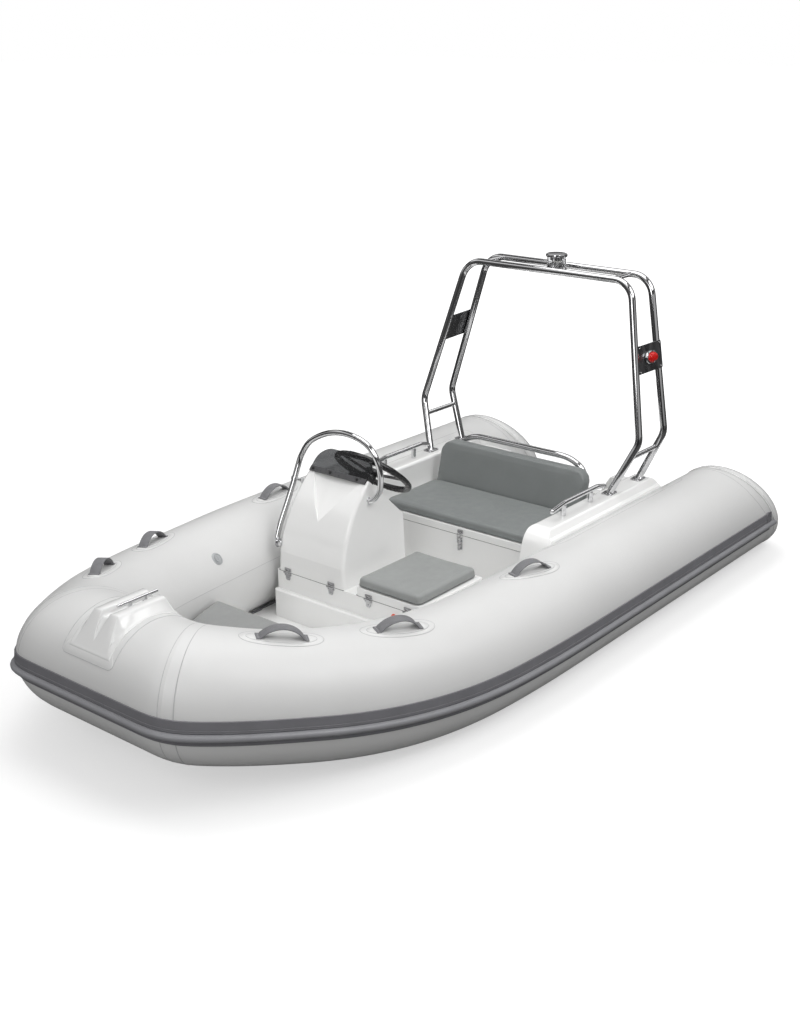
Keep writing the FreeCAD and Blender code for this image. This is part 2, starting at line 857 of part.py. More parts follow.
def console_scallop():
    """Shallow hollow that widens up the front face, from a point to the screen."""
    front = Part.Arc(V(base_front_x, console_y, console_front_knee_z),
                     V(console_front_mid_x, console_y, console_front_mid_z),
                     V(console_top_x, console_y, console_top_z))
    along = front.FirstParameter + (front.LastParameter - front.FirstParameter) * scallop_tip_share
    tip = front.value(along)
    top = V(console_top_x, console_y, console_top_z)
    half = V(0, console_top_half_width - scallop_margin, 0)
    clear = V(console_front_mid_x - console_top_x, 0, 0)
    reach = 1 + overrun / (top - tip).Length
    outline = [tip + (p - tip) * reach for p in (top - half, top - V(scallop_depth, 0, 0), top + half,
                                                 top + half + clear, top - half + clear)]
    edges = [Part.Arc(*outline[:3]).toShape()]
    edges += [Part.makeLine(a, b) for a, b in zip(outline[2:], outline[3:] + outline[:1])]
    return loft([Part.Vertex(tip), Part.Wire(edges)], True)


def console_shell():
    """Hollow console, open underneath where it covers its locker."""
    body = console_solid(0.0, console_low_z)
    corners = [e for e in body.Edges if min(v.X for v in e.Vertexes) > console_top_x - seat_gap
               and abs(e.Vertexes[0].Z - e.Vertexes[1].Z) > seat_gap]
    hollow = console_scallop()
    body = body.makeFillet(console_edge_round, corners).cut(hollow)
    hollow.translate(V(-console_wall, 0, -console_wall))
    inside = console_solid(console_wall, console_low_z - overrun).cut(hollow)
    return body.cut(inside)


def dash_frame():
    """Column foot on the dash, and the direction of the column."""
    rake = math.radians(wheel_rake)
    axis = V(-math.sin(rake), 0, math.cos(rake))
    centre = V(wheel_x, console_y, wheel_z)
    top = V(console_top_x, console_y, console_top_z)
    foot = V(console_aft_x, console_y, dash_foot_z)
    slope = (foot - top).normalize()
    normal = V(slope.z, 0, -slope.x)
    distance = (centre - top).dot(normal) / axis.dot(normal)
    return centre, axis, centre - axis * distance


def helm_column():
    """Bezel and column boss on the dash, with the wheel's running gap above it."""
    centre, axis, foot = dash_frame()
    hub_low = centre - axis * (wheel_hub_depth / 2 + column_running_gap)
    boss = rod(foot - axis * column_bezel_depth, hub_low, column_radius)
    bezel = Part.makeCone(column_bezel_radius, column_radius, 2 * column_bezel_depth,
                          foot - axis * column_bezel_depth, axis)
    return fuse([boss, bezel]).cut(console_clear())


def steering_wheel():
    centre, axis, _ = dash_frame()
    rim = Part.makeTorus(wheel_rim_radius, wheel_rim_section, centre, axis)
    hub = Part.makeCylinder(wheel_hub_radius, wheel_hub_depth, centre - axis * (wheel_hub_depth / 2), axis)
    pieces = [rim, hub]
    for index in range(wheel_spoke_count):
        spoke = Part.makeBox(wheel_rim_radius, wheel_spoke_width, wheel_spoke_thickness,
                             V(0, -wheel_spoke_width / 2, -wheel_spoke_thickness / 2))
        turn = FreeCAD.Rotation(V(0, 0, 1), wheel_first_spoke + index * full_turn / wheel_spoke_count)
        lean = FreeCAD.Rotation(V(0, 0, 1), axis)
        spoke.Placement = FreeCAD.Placement(centre, lean.multiply(turn))
        pieces.append(spoke)
    return fuse(pieces)


def windscreen():
    """Low smoked screen with rounded upper corners, leaning aft."""
    half = console_top_half_width - screen_margin
    high = screen_height
    face = box(seat_gap, seat_gap + screen_thickness, -half, half, -screen_base_height, high)
    corners = [e for e in face.Edges if abs(e.Vertexes[0].X - e.Vertexes[1].X) > seat_gap
               and e.Vertexes[0].Z > high / 2]
    face = face.makeFillet(screen_corner, corners)
    lean = FreeCAD.Rotation(V(0, 1, 0), -screen_lean)
    face.Placement = FreeCAD.Placement(V(console_top_x, console_y, console_top_z), lean)
    return face.cut(console_clear())


def instrument_pod():
    """Rounded instrument housing on the dash, beside the wheel."""
    top = V(console_top_x, console_y + pod_reach, console_top_z)
    slope = V(console_aft_x - console_top_x, 0, dash_foot_z - console_top_z).normalize()
    pod = Part.makeBox(pod_height, pod_width, pod_depth, V(-pod_height / 2, -pod_width / 2, 0))
    edges = [e for e in pod.Edges if min(v.Z for v in e.Vertexes) > pod_depth / 2]
    pod = pod.makeFillet(pod_edge, edges)
    lean = FreeCAD.Rotation(V(1, 0, 0), V(-slope.x, 0, -slope.z))
    pod.Placement = FreeCAD.Placement(top + slope * pod_drop, lean)
    return pod.cut(console_clear())


def console_rail():
    """Hoop over the console, its ends let into the two sides."""
    half = console_half_width + console_rail_side_gap + console_rail_radius
    heel_half = console_half_width + console_rail_heel_gap + console_rail_radius
    sunk = console_half_width - console_rail_sunk
    points = [V(console_rail_low_x, console_y - sunk, console_rail_low_z),
              V(console_rail_heel_x, console_y - heel_half, console_rail_heel_z),
              V(console_rail_shoulder_x, console_y - half, console_rail_shoulder_z),
              V(console_rail_top_x, console_y - console_rail_crown_half, console_rail_top_z),
              V(console_rail_top_x, console_y + console_rail_crown_half, console_rail_top_z),
              V(console_rail_port_x, console_y + half, console_rail_port_z),
              V(console_rail_end_x, console_y + sunk, console_rail_end_z)]
    bends = [console_rail_heel_bend, console_rail_bend, console_rail_crown_bend,
             console_rail_crown_bend, console_rail_toe_bend]
    hoop = pipe(points, bends, console_rail_radius).cut(console_clear())
    return max(hoop.Solids, key=lambda s: s.Volume)


# Jockey seat

def jockey_lid():
    low = base_top_z + seat_gap
    lid = box(base_aft_x, base_front_x, lid_stbd_y, lid_port_y, low, low + lid_height)
    uprights = [e for e in lid.Edges if abs(e.Vertexes[0].Z - e.Vertexes[1].Z) > seat_gap]
    return lid.makeFillet(lid_corner, uprights)


def jockey_cushion():
    low = base_top_z + lid_height + 2 * seat_gap
    return rounded_block(cushion_back_x, cushion_front_x, lid_stbd_y + cushion_stbd_inset,
                         lid_port_y - cushion_port_inset, low, low + cushion_thickness, cushion_corner, cushion_edge)


# Butt hinges, set at a height on a wall that faces fore or aft

def hinge_half(wall_x, facing, hinge_z, y, upper):
    """Leaf and knuckles; the lower half holds the outer two knuckles and the pin."""
    third = hinge_width / hinge_knuckle_count
    half = hinge_width / 2
    knuckle_radius = hinge_pin_radius + hinge_leaf_thickness / 2
    reach = (hinge_upper_leaf if upper else hinge_lower_leaf) + knuckle_radius
    x0 = wall_x + facing * seat_gap
    x1 = x0 + facing * hinge_leaf_thickness
    pin_x = wall_x + facing * hinge_stand_off
    side = 1 if upper else -1
    leaf_z = sorted((hinge_z + side * (knuckle_radius + seat_gap), hinge_z + side * reach))
    web_z = sorted((hinge_z, hinge_z + side * reach / 2))
    if upper:
        spans = [(y - third / 2 + seat_gap, y + third / 2 - seat_gap)]
    else:
        spans = [(y - half, y - third / 2), (y + third / 2, y + half)]
    whole = box(min(x0, x1), max(x0, x1), y - half, y + half, *leaf_z)
    for y0, y1 in spans:
        whole = whole.fuse(box(min(x0, pin_x), max(x0, pin_x), y0, y1, *web_z))
        whole = whole.fuse(Part.makeCylinder(knuckle_radius, y1 - y0, V(pin_x, y0, hinge_z), V(0, 1, 0)))
    pin_start = V(pin_x, y - half, hinge_z)
    if upper:
        hole = Part.makeCylinder(hinge_pin_radius + hinge_running_gap, hinge_width, pin_start, V(0, 1, 0))
        return whole.cut(hole).removeSplitter()
    pin = Part.makeCylinder(hinge_pin_radius, hinge_width, pin_start, V(0, 1, 0))
    return whole.fuse(pin).removeSplitter()


def front_hinges(ys, upper):
    return [hinge_half(base_front_x, 1, base_top_z + seat_gap / 2, y, upper) for y in ys]


def bench_hinges(upper):
    return [hinge_half(bench_back_x, -1, bench_top_z + seat_gap / 2, y, upper) for y in bench_hinge_ys]


# Bow locker, pad, step and cleat

def bow_prism(x_from, z0, z1, gap):
    """Block between the tubes from a straight aft face to the bow tube."""
    port = plan_outline(gap, x_from, bow_centre_x - tube_bow_radius - gap)
    points = [(p.x, p.y) for p in port]
    points += [(x, -y) for x, y in reversed(points)]
    return prism_z(points, z0, z1)


def bow_step(tube):
    """Anti-slip step that straddles the bow tube, with a groove for the line."""
    def rectangle(front, back, half, z):
        points = [V(front, half, z), V(back, half, z), V(back, -half, z), V(front, -half, z)]
        return Part.makePolygon(points + [points[0]])

    def rim(width, thickness):
        block = rounded_plate(bow_step_foot_back_x - width, bow_step_foot_front_x + width,
                              bow_step_foot_half_width + width, bow_step_foot_z, bow_step_top_z, width)
        return block.common(collar_bow(thickness))
    top = rectangle(bow_step_top_front_x, bow_step_top_back_x, bow_step_top_half_width, bow_step_top_z)
    foot = rectangle(bow_step_foot_front_x, bow_step_foot_back_x, bow_step_foot_half_width, bow_step_foot_z)
    body = loft([foot, top], True)
    body = body.makeFillet(bow_step_round, [e for e in body.Edges
                                            if max(v.Z for v in e.Vertexes) > bow_step_top_z - seat_gap])
    flange = rim(bow_step_flange, bow_step_flange_thickness)
    bead = rim(bow_step_bead, bow_step_bead_thickness)
    whole = fuse([body, flange, bead]).cut(tube)
    start = V(bow_step_top_front_x - groove_depth, 0, bow_step_top_z)
    run = V(groove_tip_x, 0, groove_tip_z) - start
    channel = box(bow_step_foot_back_x, start.x, -groove_half_width, groove_half_width,
                  bow_step_top_z - groove_depth, bow_step_top_z + overrun)
    spout = Part.makeCone(groove_half_width, groove_tip_radius, run.Length, start, run)
    for tool in (channel, Part.makeSphere(groove_half_width, start), spout):
        whole = whole.cut(tool)
    return max(whole.Solids, key=lambda s: s.Volume)


def bow_cleat():
    floor = bow_step_top_z - groove_depth + seat_gap
    bar_z = floor + cleat_rise
    half = cleat_length / 2
    bar = rod(V(cleat_centre_x - half, 0, bar_z), V(cleat_centre_x + half, 0, bar_z), cleat_bar_radius)
    pieces = [bar]
    for side in (-1, 1):
        x = cleat_centre_x + side * cleat_post_spacing / 2
        pieces.append(rod(V(x, 0, floor), V(x, 0, bar_z), cleat_post_radius))
        pieces.append(Part.makeCylinder(cleat_foot_radius, cleat_foot_thickness, V(x, 0, floor)))
    return fuse(pieces)


# Arch

def arch_points(foot_x, kink_x, top_x, side):
    floor = moulding_deck_z + seat_gap
    return [V(foot_x, side * arch_foot_y, floor), V(kink_x, side * arch_kink_y, arch_kink_z),
            V(top_x, side * arch_top_y, arch_top_z)]


arch_front = (arch_front_foot_x, arch_front_kink_x, arch_front_top_x)
arch_rear = (arch_rear_foot_x, arch_rear_kink_x, arch_rear_top_x)


def arch_hoop(xs):
    port = arch_points(xs[0], xs[1], xs[2], 1)
    starboard = arch_points(xs[0], xs[1], xs[2], -1)
    points = port + starboard[::-1]
    bends = [arch_kink_bend, arch_top_bend, arch_top_bend, arch_kink_bend]
    hoop = pipe(points, bends, arch_tube_radius)
    return hoop.cut(box(-far, far, -far, far, 0, moulding_deck_z + seat_gap))


def arch_bars(hoops):
    """Cross tubes that tie the front hoop to the rear one."""
    bars = []
    for side in (1, -1):
        front = arch_points(*arch_front, side)
        rear = arch_points(*arch_rear, side)
        bars.append(rod(front[0] + (front[1] - front[0]) * arch_low_bar_share,
                        rear[0] + (rear[1] - rear[0]) * arch_low_bar_share, arch_cross_radius))
    for y in (-arch_top_bar_y, 0.0, arch_top_bar_y):
        bars.append(rod(V(arch_front_top_x, y, arch_top_z), V(arch_rear_top_x, y, arch_top_z),
                        arch_cross_radius))
    cut = []
    for bar in bars:
        for hoop in hoops:
            bar = bar.cut(hoop)
        cut.append(max(bar.Solids, key=lambda s: s.Volume))
    return Part.makeCompound(cut)


def arch_feet(hoops):
    feet = []
    for x in (arch_front_foot_x, arch_rear_foot_x):
        for side in (1, -1):
            flange = Part.makeCylinder(foot_flange_radius, foot_flange_thickness,
                                       V(x, side * arch_foot_y, moulding_deck_z + seat_gap))
            for hoop in hoops:
                flange = flange.cut(hoop)
            feet.append(flange)
    return Part.makeCompound(feet)


def leg_place(side, share, front_share):
    """Point between the upper legs, at a height share and a fore-and-aft share."""
    front = arch_points(*arch_front, side)
    rear = arch_points(*arch_rear, side)
    on_front = front[1] + (front[2] - front[1]) * share
    on_rear = rear[1] + (rear[2] - rear[1]) * share
    return on_rear + (on_front - on_rear) * front_share


def light_plates(hoops):
    plates = []
    for side in (1, -1):
        corners = [leg_place(side, plate_low_share, 0), leg_place(side, plate_low_share, 1),
                   leg_place(side, plate_high_share, 1), leg_place(side, plate_high_share, 0)]
        normal = (corners[1] - corners[0]).cross(corners[3] - corners[0]).normalize()
        half = normal * (plate_thickness / 2)
        middle = (corners[0] + corners[2]) / 2
        flat = [c - normal * (c - middle).dot(normal) - half for c in corners]
        plate = prism(flat, half * 2)
        for hoop in hoops:
            plate = plate.cut(hoop)
        plates.append(max(plate.Solids, key=lambda s: s.Volume))
    return Part.makeCompound(plates)


def nav_light(side):
    """Oval side light on the outboard face of its plate."""
    low = leg_place(side, plate_low_share, 1 / 2)
    high = leg_place(side, plate_high_share, 1 / 2)
    middle = (low + high) / 2
    up = (high - low).normalize()
    ahead = (leg_place(side, plate_low_share, 1) - leg_place(side, plate_low_share, 0)).normalize()
    out = ahead.cross(up).normalize()
    if out.y * side < 0:
        out = out * -1
    up = out.cross(ahead).normalize()
    if up.z < 0:
        up = up * -1
    base = middle + out * (plate_thickness / 2 + seat_gap)

    def oval(length, height, depth, lift):
        radius = height / 2
        reach = length / 2 - radius
        left = base + out * lift - ahead * reach
        right = base + out * lift + ahead * reach
        block = prism([left + up * radius, right + up * radius, right - up * radius, left - up * radius],
                      out * depth)
        return fuse([block, Part.makeCylinder(radius, depth, left, out),
                     Part.makeCylinder(radius, depth, right, out)])
    bezel = oval(nav_light_length + 2 * nav_bezel_margin, nav_light_height + 2 * nav_bezel_margin,
                 nav_bezel_depth, 0)
    lens = oval(nav_light_length, nav_light_height, nav_light_depth - nav_bezel_depth, nav_bezel_depth)
    return fuse([bezel, lens])


def mast_light_parts():
    """Base, lens and cap of the all-round light on the middle bar."""
    x = (arch_front_top_x + arch_rear_top_x) / 2
    low = arch_top_z + arch_cross_radius + seat_gap
    base = Part.makeCylinder(mast_base_radius, mast_base_height, V(x, 0, low))
    lens = Part.makeCylinder(mast_lens_radius, mast_lens_height, V(x, 0, low + mast_base_height + seat_gap))
    cap = Part.makeCylinder(mast_base_radius, mast_cap_height,
                            V(x, 0, low + mast_base_height + mast_lens_height + 2 * seat_gap))
    return Part.makeCompound([base, cap]), lens


# Rails, handles, valves and eyes

def side_rail():
    floor = moulding_deck_z + seat_gap
    z = moulding_deck_z + side_rail_height
    points = [V(side_rail_front_x, side_rail_y, z - side_rail_end_drop), V(side_rail_front_bend_x, side_rail_y, z),
              V(side_rail_rear_bend_x, side_rail_y, z), V(side_rail_rear_x, side_rail_y, z - side_rail_end_drop)]
    rail = pipe(points, [side_rail_bend, side_rail_bend], side_rail_radius)
    pieces = [rail]
    for x in side_rail_post_xs:
        pieces.append(rod(V(x, side_rail_y, floor), V(x, side_rail_y, z), side_rail_post_radius))
    return fuse(pieces)


def on_tube(x):
    """Centre, heading and radius of the collar where its plan position has this X."""
    if x <= curve_start_x:
        return V(x, tube_centre_y, tube_centre_z), V(1, 0, 0), tube_radius
    low, high = 0.0, 1.0
    while high - low > match_tolerance:
        middle = (low + high) / 2
        point, heading = collar_point(middle)
        if point.x < x:
            low = middle
        else:
            high = middle
    return V(point.x, point.y, sheer(point.x)), heading, collar_radius(point.x)


def handle(x, tube):
    """Webbing strap arched between two glued feet."""
    centre, _, radius = on_tube(x)
    behind = on_tube(x - handle_span / 2)[0]
    ahead = on_tube(x + handle_span / 2)[0]
    along = (ahead - behind).normalize()
    across = V(-along.y, along.x, 0).normalize()
    up = along.cross(across)
    root = centre + up * radius - across * (handle_width / 2)

    def place(reach, height):
        return root + along * reach + up * height
    outer_half = handle_span / 2
    crown_half = outer_half - handle_foot
    inner_half = crown_half - handle_thickness
    sunk = -handle_thickness
    crown = Part.Arc(place(-crown_half, handle_thickness), place(0, handle_rise),
                     place(crown_half, handle_thickness)).toShape()
    hollow = Part.Arc(place(inner_half, 0), place(0, handle_rise - handle_thickness),
                      place(-inner_half, 0)).toShape()
    ahead_foot = [place(crown_half, handle_thickness), place(outer_half, handle_thickness),
                  place(outer_half, sunk), place(inner_half, sunk), place(inner_half, 0)]
    aft_foot = [place(-inner_half, 0), place(-inner_half, sunk), place(-outer_half, sunk),
                place(-outer_half, handle_thickness), place(-crown_half, handle_thickness)]
    edges = [crown] + [Part.makeLine(a, b) for a, b in zip(ahead_foot, ahead_foot[1:])]
    edges += [hollow] + [Part.makeLine(a, b) for a, b in zip(aft_foot, aft_foot[1:])]
    strap = Part.Face(Part.Wire(edges)).extrude(across * handle_width)
    return Part.makeCompound(strap.cut(tube).Solids)


def valve(tube):
    centre, heading, radius = on_tube(valve_x)
    inward = V(heading.y, -heading.x, 0)
    angle = math.radians(valve_angle)
    out = inward * math.cos(angle) + V(0, 0, math.sin(angle))
    body = Part.makeCylinder(valve_radius, radius + valve_height, centre, out)
    return body.cut(tube)


def towing_eye(centre, out, along):
    """Pad eye: a plate with an upright ring on it."""
    across = out.cross(along)
    half_l = eye_plate_length / 2
    half_w = eye_plate_width / 2
    corners = [centre + along * half_l + across * half_w, centre - along * half_l + across * half_w,
               centre - along * half_l - across * half_w, centre + along * half_l - across * half_w]
    plate = prism(corners, out * eye_plate_thickness)
    ring_centre = centre + out * (eye_plate_thickness + eye_hole_radius)
    thickness = 2 * eye_rod_radius
    lug_radius = eye_hole_radius + thickness
    lug = Part.makeCylinder(lug_radius, thickness, ring_centre - across * eye_rod_radius, across)
    lug = lug.cut(Part.makeCylinder(eye_hole_radius, 2 * thickness, ring_centre - across * thickness, across))
    behind = prism([c - out * overrun * 2 for c in corners], out * overrun * 2)
    return fuse([plate, lug.cut(behind)])


def build():
    """Make every piece and return them by name."""
    port_full = collar_side()
    port_clear = collar_side(seat_gap)
    bow_tube = collar_bow()
    bow_clear = collar_bow(seat_gap)
    cap_region = behind_plane(cap_face_x)
    port_tube = port_full.cut(cap_region)
    port_cap = port_full.common(cap_region)
    tubes_clear = [port_clear, mirrored(port_clear), bow_clear]
    hull_body = hull()
    for tube in tubes_clear:
        hull_body = hull_body.cut(tube)
    hull_body = max(hull_body.Solids, key=lambda s: s.Volume)
    moulding = side_moulding(port_clear)
    hoops = [arch_hoop(arch_front), arch_hoop(arch_rear)]
    straps = [handle(x, port_full) for x in handle_xs]
    mast_base, mast_lens = mast_light_parts()
    port_rail = side_rail()
    port_valve = valve(port_full)
    pad_low = locker_top_z + seat_gap
    bow_pad = bow_prism(locker_aft_x, pad_low, pad_low + pad_thickness, pad_side_gap)
    stern_eye = towing_eye(V(transom_x - seat_gap, stern_eye_y, stern_eye_z), V(-1, 0, 0), V(0, 1, 0))
    return {
        "hull": hull_body,
        "deck_strip": deck_strip(),
        "transom": transom(),
        "clamp_pad": clamp_pad(),
        "tube_port": port_tube,
        "tube_starboard": mirrored(port_tube),
        "tube_bow": bow_tube,
        "end_cap_port": port_cap,
        "end_cap_starboard": mirrored(port_cap),
        "rubbing_strake": around_collar(strake_section, strake_end_x),
        "rub_rail": around_collar(rail_section, rail_end_x),
        "handles_port": Part.makeCompound(straps),
        "handles_starboard": Part.makeCompound([mirrored(s) for s in straps]),
        "inflation_valves": Part.makeCompound([port_valve, mirrored(port_valve)]),
        "bow_locker": bow_locker(),
        "bow_pad": bow_pad,
        "bow_step": bow_step(bow_clear),
        "bow_cleat": bow_cleat(),
        "side_moulding_port": moulding,
        "side_moulding_starboard": mirrored(moulding),
        "side_rail_port": port_rail,
        "side_rail_starboard": mirrored(port_rail),
        "bench_box": bench_box(),
        "bench_latch": bench_latch(),
        "bench_lid": bench_lid(),
        "bench_cushion": bench_cushion(),
        "backrest": backrest(),
        "backrest_rail": backrest_rail(),
        "base_box": base_box(),
        "hinge_leaves_fixed": Part.makeCompound(front_hinges(console_hinge_ys + lid_hinge_ys, False)
                                                + bench_hinges(False)),
        "console_shell": console_shell(),
        "console_hinges": Part.makeCompound(front_hinges(console_hinge_ys, True)),
        "console_rail": console_rail(),
        "windscreen": windscreen(),
        "instrument_pod": instrument_pod(),
        "helm_column": helm_column(),
        "steering_wheel": steering_wheel(),
        "jockey_lid": jockey_lid(),
        "jockey_cushion": jockey_cushion(),
        "lid_hinges": Part.makeCompound(front_hinges(lid_hinge_ys, True)),
        "bench_lid_hinges": Part.makeCompound(bench_hinges(True)),
        "arch_front_hoop": hoops[0],
        "arch_rear_hoop": hoops[1],
        "arch_bars": arch_bars(hoops),
        "arch_feet": arch_feet(hoops),
        "light_plates": light_plates(hoops),
        "nav_light_port": nav_light(1),
        "nav_light_starboard": nav_light(-1),
        "mast_light_body": mast_base,
        "mast_light_lens": mast_lens,
        "stern_eyes": Part.makeCompound([stern_eye, mirrored(stern_eye)]),
    }


os.makedirs("parts", exist_ok=True)
for name, shape in build().items():
    shape.exportStep("parts/" + name + ".step")
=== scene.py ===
import json
from math import atan2, copysign, cos, hypot, pi, radians, sin, sqrt, tan

import bmesh
import bpy
import numpy as np
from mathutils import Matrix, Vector
from mathutils.bvhtree import BVHTree


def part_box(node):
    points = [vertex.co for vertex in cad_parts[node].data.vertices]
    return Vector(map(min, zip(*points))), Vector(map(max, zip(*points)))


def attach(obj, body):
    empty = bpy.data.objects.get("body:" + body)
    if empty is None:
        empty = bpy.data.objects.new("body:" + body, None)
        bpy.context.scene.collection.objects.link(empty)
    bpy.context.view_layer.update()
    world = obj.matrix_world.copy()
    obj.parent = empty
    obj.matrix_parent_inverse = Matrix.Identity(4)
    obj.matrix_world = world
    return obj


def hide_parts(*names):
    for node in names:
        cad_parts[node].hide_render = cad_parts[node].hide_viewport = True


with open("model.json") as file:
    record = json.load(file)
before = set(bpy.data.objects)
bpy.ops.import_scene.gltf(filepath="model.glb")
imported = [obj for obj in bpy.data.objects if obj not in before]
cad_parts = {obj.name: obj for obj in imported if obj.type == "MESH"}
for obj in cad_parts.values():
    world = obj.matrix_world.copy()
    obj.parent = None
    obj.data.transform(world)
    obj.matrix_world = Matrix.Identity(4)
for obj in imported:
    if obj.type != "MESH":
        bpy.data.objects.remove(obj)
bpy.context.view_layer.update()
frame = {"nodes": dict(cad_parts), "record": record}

NODES = frame["nodes"]


def vec(x, y, z):
    return np.array([x, y, z], dtype=float)


BOW, PORT, UP = vec(1, 0, 0), vec(0, 1, 0), vec(0, 0, 1)
FLIP = vec(1, -1, 1)


# Materials

def put(tree, node, key, value):
    """Give an input a constant or another node's output."""
    if isinstance(value, bpy.types.NodeSocket):
        tree.links.new(value, node.inputs[key])
    else:
        node.inputs[key].default_value = value


def add_node(tree, kind, inputs=(), **settings):
    node = tree.nodes.new("ShaderNode" + kind)
    for key, value in settings.items():
        setattr(node, key, value)
    for key, value in dict(inputs).items():
        put(tree, node, key, value)
    return node


def new_material(name, constants):
    material = bpy.data.materials.new(name)
    material.use_nodes = True
    tree = material.node_tree
    shader = next(n for n in tree.nodes if n.type == "BSDF_PRINCIPLED")
    for key, value in constants.items():
        shader.inputs[key].default_value = value
    return material, tree, shader


def coordinates(tree, scale):
    place = add_node(tree, "TexCoord").outputs["Object"]
    scale = scale if isinstance(scale, tuple) else (scale, scale, scale)
    return add_node(tree, "Mapping", {"Vector": place, "Scale": scale}).outputs["Vector"]


def texture(tree, kind, scale, inputs=(), **settings):
    """Texture at its unit size, on object coordinates that are scaled."""
    inputs = {"Vector": coordinates(tree, scale), "Scale": 1.0, **dict(inputs)}
    return add_node(tree, "Tex" + kind, inputs, **settings).outputs


def noise(tree, scale, detail=3.0, roughness=0.5):
    return texture(tree, "Noise", scale, {"Detail": detail, "Roughness": roughness})["Fac"]


def grey(value):
    return (value, value, value, 1.0)


def shade(colour, factor):
    return (colour[0] * factor, colour[1] * factor, colour[2] * factor, 1.0)


def ramp(tree, source, *stops):
    """Colour ramp; each stop is a position and a colour or a level of grey."""
    node = add_node(tree, "ValToRGB", {"Fac": source})
    elements = node.color_ramp.elements
    while len(elements) < len(stops):
        elements.new(0.5)
    for element, (position, colour) in zip(elements, stops):
        element.position = position
        element.color = colour if isinstance(colour, tuple) else grey(colour)
    return node.outputs["Color"]


def math_node(tree, operation, first, second):
    return add_node(tree, "Math", {0: first, 1: second}, operation=operation).outputs["Value"]


def add_bump(tree, shader, height, strength, distance, previous=None):
    inputs = {"Strength": strength, "Distance": distance, "Height": height}
    if previous is not None:
        inputs["Normal"] = previous
    normal = add_node(tree, "Bump", inputs).outputs["Normal"]
    put(tree, shader, "Normal", normal)
    return normal


def weave(tree, scale):
    """Two crossed bands that read as a woven cloth."""
    bands = [texture(tree, "Wave", scale, {"Distortion": 0.6}, bands_direction=axis)["Fac"] for axis in ("X", "Z")]
    return math_node(tree, "MAXIMUM", *bands)


def tinted(tree, shader, colour, spread, patch, roughness):
    """Colour and roughness that vary in soft patches."""
    tone = ramp(tree, noise(tree, patch, 4.0), (0.3, shade(colour, 1 - spread)), (0.7, shade(colour, 1 + spread * 0.4)))
    put(tree, shader, "Base Color", tone)
    rough = ramp(tree, noise(tree, patch * 3.1, 5.0), (0.3, max(0.02, roughness * 0.85)),
                 (0.7, min(1.0, roughness * 1.15)))
    put(tree, shader, "Roughness", rough)


def surface(name, colour, roughness, spread=0.05, patch=6.0, grain=0.0, grain_scale=400.0, coat=0.0, cloth=0.0,
            cloth_scale=900.0, wear=0.0):
    """Painted, moulded or woven stuff with its own grain."""
    material, tree, shader = new_material(name, {"Coat Weight": coat, "Coat Roughness": 0.06})
    tinted(tree, shader, colour, spread, patch, roughness)
    normal = None
    if cloth:
        normal = add_bump(tree, shader, weave(tree, cloth_scale), cloth, 0.0006)
    if grain:
        normal = add_bump(tree, shader, noise(tree, grain_scale, 2.0), grain, 0.0008, normal)
    if wear:
        add_bump(tree, shader, noise(tree, 14.0, 2.0), wear, 0.004, normal)
    return material


def non_slip(name, colour, above):
    """Glossy laminate whose upper side, above a height, has small raised dots."""
    material, tree, shader = new_material(name, {"Coat Weight": 0.4, "Coat Roughness": 0.06})
    tinted(tree, shader, colour, 0.02, 3.0, 0.2)
    place = add_node(tree, "TexCoord").outputs["Object"]
    height = add_node(tree, "SeparateXYZ", {0: place}).outputs["Z"]
    upper = math_node(tree, "GREATER_THAN", height, above)
    cells = texture(tree, "Voronoi", (130.0, 130.0, 1.0), {"Randomness": 0.0})
    dots = ramp(tree, cells["Distance"], (0.18, 1), (0.3, 0))
    add_bump(tree, shader, math_node(tree, "MULTIPLY", dots, upper), 0.5, 0.0008)
    return material


def leather_grain(name, colour):
    """Upholstery vinyl with a pebbled grain and soft creases."""
    material, tree, shader = new_material(name, {"Sheen Weight": 0.08})
    tinted(tree, shader, colour, 0.05, 9.0, 0.5)
    cells = texture(tree, "Voronoi", 420.0, feature="DISTANCE_TO_EDGE")
    grain = add_bump(tree, shader, ramp(tree, cells["Distance"], (0.0, 0), (0.12, 1)), 0.25, 0.0005)
    add_bump(tree, shader, noise(tree, 22.0, 3.0), 0.12, 0.003, grain)
    return material


def polished(name, colour, roughness):
    """Polished metal with faint drawing lines and smudges."""
    material, tree, shader = new_material(name, {"Metallic": 1.0})
    smudges, lines = noise(tree, 18.0, 4.0), noise(tree, (40.0, 40.0, 6.0), 5.0)
    put(tree, shader, "Base Color", ramp(tree, smudges, (0.3, shade(colour, 0.95)), (0.7, shade(colour, 1))))
    put(tree, shader, "Roughness", ramp(tree, lines, (0.3, roughness * 0.6), (0.7, roughness * 1.5)))
    add_bump(tree, shader, noise(tree, 900.0, 2.0), 0.03, 0.0003)
    return material


def clear(name, colour, roughness, transmission):
    """See-through moulding with a slight tint."""
    material, tree, shader = new_material(name, {"Transmission Weight": transmission, "IOR": 1.49})
    tinted(tree, shader, colour, 0.05, 25.0, roughness)
    add_bump(tree, shader, noise(tree, 200.0, 2.0), 0.02, 0.0004)
    return material


